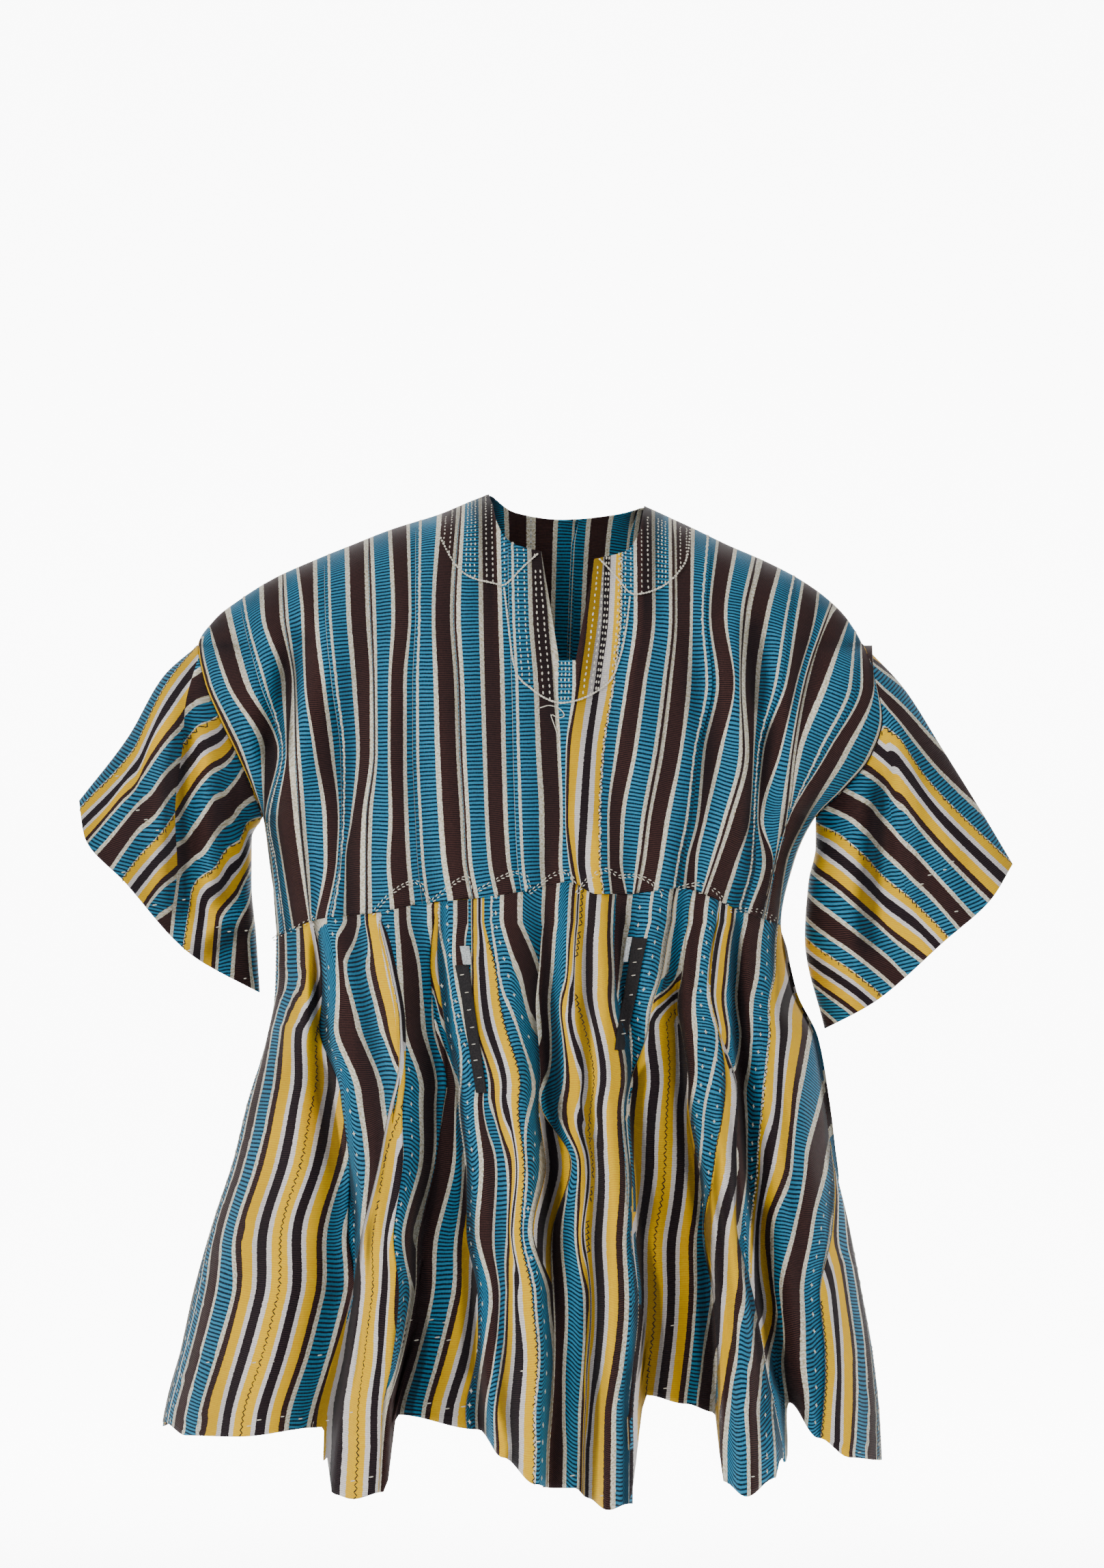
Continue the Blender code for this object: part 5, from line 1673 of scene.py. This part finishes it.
def striped_material(name, turned_round):
    """The handwoven striped cloth, read from the UV map 'loom' in millimetres."""
    material, shader, start = new_material(name)
    loom = start.node("ShaderNodeUVMap", {"uv_map": "loom"})
    split = start.node("ShaderNodeSeparateXYZ", (), {0: loom}).output.node
    u = Socket(start.tree, split.outputs[0])
    v = Socket(start.tree, split.outputs[1])

    def noise(across, along, detail=2.0, seed=0.0):
        """Noise with a grain of so many millimetres across and along the strip."""
        place = start.node("ShaderNodeCombineXYZ", (),
                           {0: u / across, 1: v / along, 2: seed})
        return start.node("ShaderNodeTexNoise", (),
                          {"Vector": place, "Scale": 1.0, "Detail": detail})

    waver = (noise(*LINE_WAVER[:2]) - 0.5) * LINE_WAVER[2]
    across = u + waver
    if turned_round:
        place = start.math("PINGPONG", across, STRIP_WIDTH) / STRIP_WIDTH
    else:
        place = start.math("FLOORED_MODULO", across, STRIP_WIDTH) / STRIP_WIDTH
    # Lit and shaded copies of each stripe colour, mixed by the weave as painted rib light and
    # shade
    high = chart_ramp(start, place, {key: colour(c[0]) for key, c in CLOTH_LIT_AND_SHADED_COLOURS.items()})
    low = chart_ramp(start, place, {key: colour(c[1]) for key, c in CLOTH_LIT_AND_SHADED_COLOURS.items()})
    kinds = chart_ramp(start, place, {
        "teal": (1, 0, 0, 1), "brown": (0, 1, 0, 1), "dark": (0, 1, 0, 1),
        "cream": (0, 0, 1, 1), "yellow": (0, 0, 0, 1), "white": (0, 0, 0, 1)})
    masks = start.node("ShaderNodeSeparateColor", (), {0: kinds}).output.node
    teal, brown, cream = (Socket(start.tree, masks.outputs[k]) for k in range(3))

    along = v + (noise(*RIB_WAVER[:2], seed=3.0) - 0.5) * RIB_WAVER[2]
    strand = noise(*STRAND[:2], detail=3.0, seed=7.0)
    ribs = along.wave(TEAL_RIB).between(*RIB_EDGES) * teal + along.wave(BROWN_RIB) * brown
    knots = noise(*KNOT_GRAIN, seed=11.0).between(0.3, 0.65) * cream
    plain = (1 - teal - brown - cream) * (0.45 + 0.55 * along.wave(FINE_RIB))
    weave = ribs + knots + plain
    fleck = start.math("MULTIPLY_ADD", strand - 0.5, STRAND[2], weave)
    lit = start.node("ShaderNodeAttribute", {"attribute_name": "lit"}, output=2)
    patch = noise(*PATCH[:2], seed=19.0)
    # Share of the lit copy: painted light on the weave's ridges and shade in its grooves, plus
    # flecks
    weave_light_and_flecks = start.math("MINIMUM", start.math("MAXIMUM", fleck, 0.0), 1.0)
    # Painted shade: darker where the relief 'lit' finds a valley, with random paler and deeper
    # patches
    fold = FOLD_SHADE + lit * FOLD_RIDGE + (patch - 0.5) * PATCH[2]
    fold = start.math("MINIMUM", start.math("MAXIMUM", fold, FOLD_DARKEST), 1.0)
    cloth = fold.mix(colour(FOLD_SHADE_COLOUR), weave_light_and_flecks.mix(low, high))
    start.tree.links.new(cloth.output, shader.inputs["Base Color"])
    height = weave * 0.6 + strand * 0.4
    bump = start.node("ShaderNodeBump", (), {"Height": height, "Strength": 0.55,
                                             "Distance": 0.0005})
    start.tree.links.new(bump.output, shader.inputs["Normal"])
    shader.inputs["Roughness"].default_value = 0.85
    shader.inputs["Specular IOR Level"].default_value = 0.2
    shader.inputs["Sheen Weight"].default_value = 0.04
    shader.inputs["Sheen Roughness"].default_value = 0.5
    return material


def woven_material(name, high, low, pitch):
    """A plain woven cloth or thread of one colour with a fine uneven weave."""
    material, shader, start = new_material(name)
    place = start.node("ShaderNodeTexCoord", output=3)
    grain = start.node("ShaderNodeTexNoise", (), {"Vector": place, "Scale": 1 / (pitch * MM),
                                                  "Detail": 3.0})
    shade = grain.between(0.3, 0.7)
    start.tree.links.new(shade.mix(colour(low), colour(high)).output,
                         shader.inputs["Base Color"])
    bump = start.node("ShaderNodeBump", (), {"Height": grain, "Strength": 0.5,
                                             "Distance": 0.0004})
    start.tree.links.new(bump.output, shader.inputs["Normal"])
    shader.inputs["Roughness"].default_value = 0.9
    return material


def stitch_tree():
    """Geometry nodes that lay one rounded stitch on each point of a mesh."""
    tree = bpy.data.node_groups.new("stitches on points", "GeometryNodeTree")
    face = tree.interface
    face.new_socket("Geometry", in_out="INPUT", socket_type="NodeSocketGeometry")
    face.new_socket("Sides", in_out="INPUT", socket_type="NodeSocketInt")
    face.new_socket("Unevenness", in_out="INPUT", socket_type="NodeSocketFloat")
    face.new_socket("Thread", in_out="INPUT", socket_type="NodeSocketMaterial")
    face.new_socket("Geometry", in_out="OUTPUT", socket_type="NodeSocketGeometry")

    def node(kind, settings=(), inputs=()):
        made = tree.nodes.new(kind)
        for name, value in dict(settings).items():
            setattr(made, name, value)
        for name, value in dict(inputs).items():
            if isinstance(value, bpy.types.NodeSocket):
                tree.links.new(value, made.inputs[name])
            else:
                made.inputs[name].default_value = value
        return made

    def named(attribute):
        return node("GeometryNodeInputNamedAttribute", {"data_type": "FLOAT_VECTOR"},
                    {"Name": attribute}).outputs["Attribute"]

    given = node("NodeGroupInput").outputs
    bead = node("GeometryNodeMeshUVSphere", (), {"Segments": given["Sides"], "Rings": 4,
                                                 "Radius": 0.5})
    turned = node("FunctionNodeAxesToRotation", {"primary_axis": "X", "secondary_axis": "Z"},
                  {"Primary Axis": named("along"), "Secondary Axis": named("out")})
    chance = node("FunctionNodeRandomValue", {"data_type": "FLOAT"}, {"Seed": 5})
    swing = node("ShaderNodeMath", {"operation": "MULTIPLY"},
                 {0: chance.outputs[1], 1: given["Unevenness"]})
    less = node("ShaderNodeMath", {"operation": "SUBTRACT"}, {0: 1.0, 1: swing.outputs[0]})
    size = node("ShaderNodeVectorMath", {"operation": "SCALE"},
                {0: named("size"), "Scale": less.outputs[0]})
    laid = node("GeometryNodeInstanceOnPoints", (), {
        "Points": given["Geometry"], "Instance": bead.outputs["Mesh"],
        "Rotation": turned.outputs["Rotation"], "Scale": size.outputs["Vector"]})
    real = node("GeometryNodeRealizeInstances", (), {"Geometry": laid.outputs["Instances"]})
    coloured = node("GeometryNodeSetMaterial", (), {"Geometry": real.outputs["Geometry"],
                                                    "Material": given["Thread"]})
    end = tree.nodes.new("NodeGroupOutput")
    tree.links.new(coloured.outputs["Geometry"], end.inputs["Geometry"])
    return tree


def sewn(name, stitches, thread, tree):
    """All stitches of one thread as one plain mesh."""
    places, along, out, sizes = (np.array([row[k] for row in stitches.rows])
                                 for k in range(4))
    mesh = bpy.data.meshes.new(name)
    mesh.from_pydata((places * MM).tolist(), [], [])
    for key, values in (("along", along), ("out", out), ("size", sizes * MM)):
        attribute = mesh.attributes.new(key, "FLOAT_VECTOR", "POINT")
        attribute.data.foreach_set("vector", values.ravel())
    base = bpy.data.objects.new(name + " points", mesh)
    bpy.context.scene.collection.objects.link(base)
    modifier = base.modifiers.new("stitches", "NODES")
    modifier.node_group = tree
    wanted = {"Sides": 6, "Unevenness": 0.2, "Thread": thread}
    for item in tree.interface.items_tree:
        if item.in_out == "INPUT" and item.name in wanted:
            modifier[item.identifier] = wanted[item.name]
    graph = bpy.context.evaluated_depsgraph_get()
    made = bpy.data.meshes.new_from_object(base.evaluated_get(graph), depsgraph=graph)
    bpy.data.objects.remove(base, do_unlink=True)
    for key in ("along", "out", "size"):
        if key in made.attributes:
            made.attributes.remove(made.attributes[key])
    made.name = name
    made.shade_smooth()
    return show(name, made, thread)


def seen_pixels(points):
    """Photograph pixels of real points."""
    scale = VIEW_DISTANCE / (VIEW_DISTANCE + points[..., 1])
    across = VIEW_X + (points[..., 0] - VIEW_X) * scale
    height = VIEW_Z + (points[..., 2] - VIEW_Z) * scale
    return across * PIXELS_PER_MM + NECK_PIXEL_X, NECK_PIXEL_Y - height * PIXELS_PER_MM


def inside(polygon, x, y):
    """Whether a pixel lies in a polygon of pixels."""
    found = False
    for (x0, y0), (x1, y1) in zip(polygon, polygon[1:] + polygon[:1]):
        if (y0 > y) != (y1 > y) and x < x0 + (x1 - x0) * (y - y0) / (y1 - y0):
            found = not found
    return found


def resampled(pixels, spacing):
    """Places along a line of pixels with its corners rounded, one every so many
    millimetres."""
    line = np.array(pixels, float)
    for _ in range(2):
        cut = np.empty((2 * len(line) - 2, 2))
        cut[0::2] = 0.75 * line[:-1] + 0.25 * line[1:]
        cut[1::2] = 0.25 * line[:-1] + 0.75 * line[1:]
        line = np.concatenate((line[:1], cut, line[-1:]))
    lengths = np.concatenate(([0], np.cumsum(np.hypot(*np.diff(line, axis=0).T))))
    places = np.arange(0, lengths[-1], spacing * PIXELS_PER_MM)
    return np.stack((np.interp(places, lengths, line[:, 0]),
                     np.interp(places, lengths, line[:, 1])), axis=-1)


def stitch_path(stitches, surface, pixels, spacing, size, shift=0.0, lift=0.7, turn=0.0):
    """Stitches one after the other along a line of pixels on a surface."""
    line = resampled(pixels, spacing)
    for start, end in zip(line[:-1], line[1:]):
        way = (end - start) / max(np.hypot(*(end - start)), 1e-6)
        start = start + np.array((-way[1], way[0])) * shift * PIXELS_PER_MM
        near = np.stack((start, start + way, start + np.array((-way[1], way[0]))))
        points = surface(seen_x(near[:, 0]), seen_z(near[:, 1]), np.zeros(3))
        along, across = points[1] - points[0], points[2] - points[0]
        out = np.cross(along, across)
        if out[1] > 0:
            out = -out
        along = along / np.linalg.norm(along)
        across = across / np.linalg.norm(across)
        stitches.add(points[0], along * math.cos(turn) + across * math.sin(turn), out, size,
                     lift)


def dashes(stitches, cloth, pixels, size, lift=0.8):
    """Single level stitches on the front of a cloth, nearest to some pixels."""
    x, y = seen_pixels(cloth.points)
    for px, py in pixels:
        distance = np.hypot(x - px, y - py)
        near = distance < distance.min() + 4
        depth = np.where(near, cloth.points[..., 1], 1e9)
        i, j = np.unravel_index(np.argmin(depth), depth.shape)
        after = cloth.points[min(i + 1, len(x) - 1), j] - cloth.points[i, j]
        below = cloth.points[i, min(j + 1, x.shape[1] - 1)] - cloth.points[i, max(j - 1, 0)]
        out = np.cross(after, below)
        if out[1] > 0:
            out = -out
        stitches.add(cloth.points[i, j], np.array((1.0, 0.0, 0.15)), out, size, lift)


def strip_on_skirt(edges, rise):
    """Points of a strip on the front skirt between a left and a right line of pixels."""
    share = np.linspace(0, 1, POCKET_ROWS + 1)
    sides = []
    for line in edges:
        line = np.array(line, float)
        knots = share * (len(line) - 1)
        sides.append(np.stack([np.interp(knots, np.arange(len(line)), line[:, k])
                               for k in (0, 1)], axis=-1))
    columns = []
    for part in np.linspace(0, 1, POCKET_CELLS + 1):
        places = sides[0] * (1 - part) + sides[1] * part
        lift = rise + 0.5 * math.sin(math.pi * part)
        columns.append(front_skirt_surface(seen_x(places[:, 0]), seen_z(places[:, 1]),
                                           np.full(len(share), lift)))
    points = np.array(columns)
    flat = np.zeros((len(points) - 1, points.shape[1]))
    return Cloth(points, flat, flat, flat, flat)


def area_light(name, place, size, power):
    """A soft square light that looks at the garment."""
    data = bpy.data.lights.new(name, "AREA")
    data.size = size
    data.energy = power
    light = bpy.data.objects.new(name, data)
    light.location = place
    light.rotation_euler = (Vector(LIGHT_AIM) - Vector(place)).to_track_quat("-Z", "Y").to_euler()
    bpy.context.scene.collection.objects.link(light)


def studio():
    """The camera at the photograph's place, a pale floor that curves up behind, and light."""
    camera = bpy.data.objects.new("camera", bpy.data.cameras.new("camera"))
    camera.data.sensor_width = SENSOR
    camera.data.lens = SENSOR * VIEW_DISTANCE / (PHOTO_HEIGHT / PIXELS_PER_MM)
    camera.data.clip_end = 20.0
    camera.location = (VIEW_X * MM, -VIEW_DISTANCE * MM, VIEW_Z * MM)
    camera.rotation_euler = (math.pi / 2, 0.0, 0.0)
    bpy.context.scene.collection.objects.link(camera)
    bpy.context.scene.camera = camera

    profile = [(-FLOOR_REACH, FLOOR_HEIGHT)]
    for step in range(13):
        turn = math.pi / 2 * step / 12
        profile.append((FLOOR_REACH - FLOOR_CURVE + FLOOR_CURVE * math.sin(turn),
                        FLOOR_HEIGHT + FLOOR_CURVE * (1 - math.cos(turn))))
    profile.append((FLOOR_REACH, FLOOR_TOP))
    points = [(x, y, z) for x in (-FLOOR_REACH, FLOOR_REACH) for y, z in profile]
    rows = len(profile)
    faces = [(k, rows + k, rows + k + 1, k + 1) for k in range(rows - 1)]
    mesh = bpy.data.meshes.new("floor")
    mesh.from_pydata(points, [], faces)
    mesh.shade_smooth()
    floor = bpy.data.objects.new("floor", mesh)
    bpy.context.scene.collection.objects.link(floor)
    material, shader, start = new_material("pale studio floor")
    shader.inputs["Base Color"].default_value = colour("#fdfdfd")
    shader.inputs["Roughness"].default_value = 0.95
    place = start.node("ShaderNodeTexCoord", output=3)
    split = start.node("ShaderNodeSeparateXYZ", (), {0: place}).output.node
    depth = Socket(start.tree, split.outputs[1])
    beside = start.math("ABSOLUTE", Socket(start.tree, split.outputs[0]))
    glow = depth.between(*GLOW_DEPTHS) * (1 - beside.between(*GLOW_SIDES))
    glow = glow.mix((GLOW_LEAST, GLOW_LEAST, GLOW_LEAST, 1.0), (1.0, 1.0, 1.0, 1.0))
    start.tree.links.new(glow.output, shader.inputs["Emission Color"])
    shader.inputs["Emission Strength"].default_value = FLOOR_GLOW
    mesh.materials.append(material)

    world = bpy.data.worlds.new("studio")
    world.use_nodes = True
    background = world.node_tree.nodes["Background"]
    background.inputs["Color"].default_value = (0.97, 0.98, 1.0, 1.0)
    background.inputs["Strength"].default_value = WORLD_STRENGTH
    bpy.context.scene.world = world
    for light in LIGHTS:
        area_light(*light)


def main():
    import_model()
    tree = stitch_tree()
    body_cloth = striped_material("striped cloth of body", turned_round=True)
    arm_cloth = striped_material("striped cloth of sleeves", turned_round=False)
    threads = {"cream": woven_material("cream thread", "#fbf6e8", "#cfc6b0", 0.5),
               "black": woven_material("black thread", "#2a2022", "#120e12", 0.5)}
    edge_cloth = woven_material("black pocket edge", "#2b2728", "#0f0d10", 0.8)
    lining_cloth = woven_material("pocket lining", "#dfe3e2", "#9aa1a4", 1.0)

    sheets = {
        "front_bodice": (front_bodice_cloth(), False, body_cloth, BODICE_SEAMS),
        "back_bodice": (back_bodice_cloth(), True, body_cloth, BODICE_SEAMS),
        "front_skirt": (front_skirt_cloth(), False, body_cloth, SKIRT_SEAMS),
        "back_skirt": (back_skirt_cloth(), True, body_cloth, SKIRT_SEAMS),
        "sleeve_left": (sleeve_cloth("sleeve_left"), False, arm_cloth, SLEEVE_SEAMS),
        "sleeve_right": (sleeve_cloth("sleeve_right"), True, arm_cloth, SLEEVE_SEAMS),
    }
    pieces = {}
    for name, (cloth, flipped, material, seams) in sheets.items():
        pieces[name] = show(name + "_cloth",
                            cloth_mesh(name, cloth, flipped), material, CLOTH_WALL)
        threads_here = {"cream": Stitches(), "black": Stitches()}
        lay_seams(threads_here, cloth, seams, -1.0 if flipped else 1.0)
        if name == "front_bodice":
            embroider(threads_here["cream"], cloth)
        if name == "front_skirt":
            dashes(threads_here["cream"], cloth, HEM_DASHES, HEM_DASH)
            dashes(threads_here["cream"], cloth, POCKET_CROSSES, POCKET_DASH, POCKET_LIFT)
        if name in CUFF_DASHES:
            dashes(threads_here["cream"], cloth, CUFF_DASHES[name], CUFF_DASH)
        sewn_on = []
        for thread, stitches in threads_here.items():
            if stitches.rows:
                piece = sewn(f"{name}_{thread}_stitches", stitches,
                             threads[thread], tree)
                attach(piece, "root")
                sewn_on.append(piece)
        pieces[name + " stitches"] = sewn_on
        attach(pieces[name], "root")
        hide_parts(name)
    for name, lines in POCKET_STRIPS.items():
        lining = "lining" in name
        mesh = cloth_mesh(name, strip_on_skirt(lines, POCKET_RISE - LINING_SINK * lining))
        piece = show(name + "_cloth", mesh, lining_cloth if lining else edge_cloth,
                     POCKET_WALL)
        pieces[name] = piece
        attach(piece, "root")
        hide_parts(name)
    for name, (width, length, area, held) in SHEETS.items():
        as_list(pieces[name + " stitches"])
    studio()


def embroider(stitches, cloth):
    """The neck's chain outlines, its rows of running stitches, its thread tail, and the
    stitches along the gather line."""
    for chain in EMBROIDERY_CHAINS:
        stitch_path(stitches, front_bodice_surface, chain, CHAIN_SPACING, CHAIN_STITCH, 0.0, 2.0)
    rows = Stitches()
    for way in (1, -1):
        for place in RUNNING_ROWS:
            for k in range(-2, 3):
                rows.on_line(cloth, way * place + k * 2 * STRIP_WIDTH, RUNNING_SPACING,
                             running, 1.0)
    for row in rows.rows:
        x, y = seen_pixels(row[0])
        if any(inside(lobe, x, y) for lobe in EMBROIDERY_LOBES):
            stitches.rows.append(row)
    stitch_path(stitches, front_bodice_surface, THREAD_TAIL, TAIL_SPACING, TAIL_THREAD, 0.0,
                1.2)
    for line in GATHER_STITCHES:
        for shift, turn in ((1.1, 0.25), (-1.1, -0.25)):
            stitch_path(stitches, front_bodice_surface, line, GATHER_SPACING, GATHER_STITCH, shift,
                        2.2, turn)


def running(number):
    """One oval running stitch."""
    return 0.1 * math.sin(number * 1.3), 0.25 * math.sin(number * 2.3), RUNNING_STITCH


main()
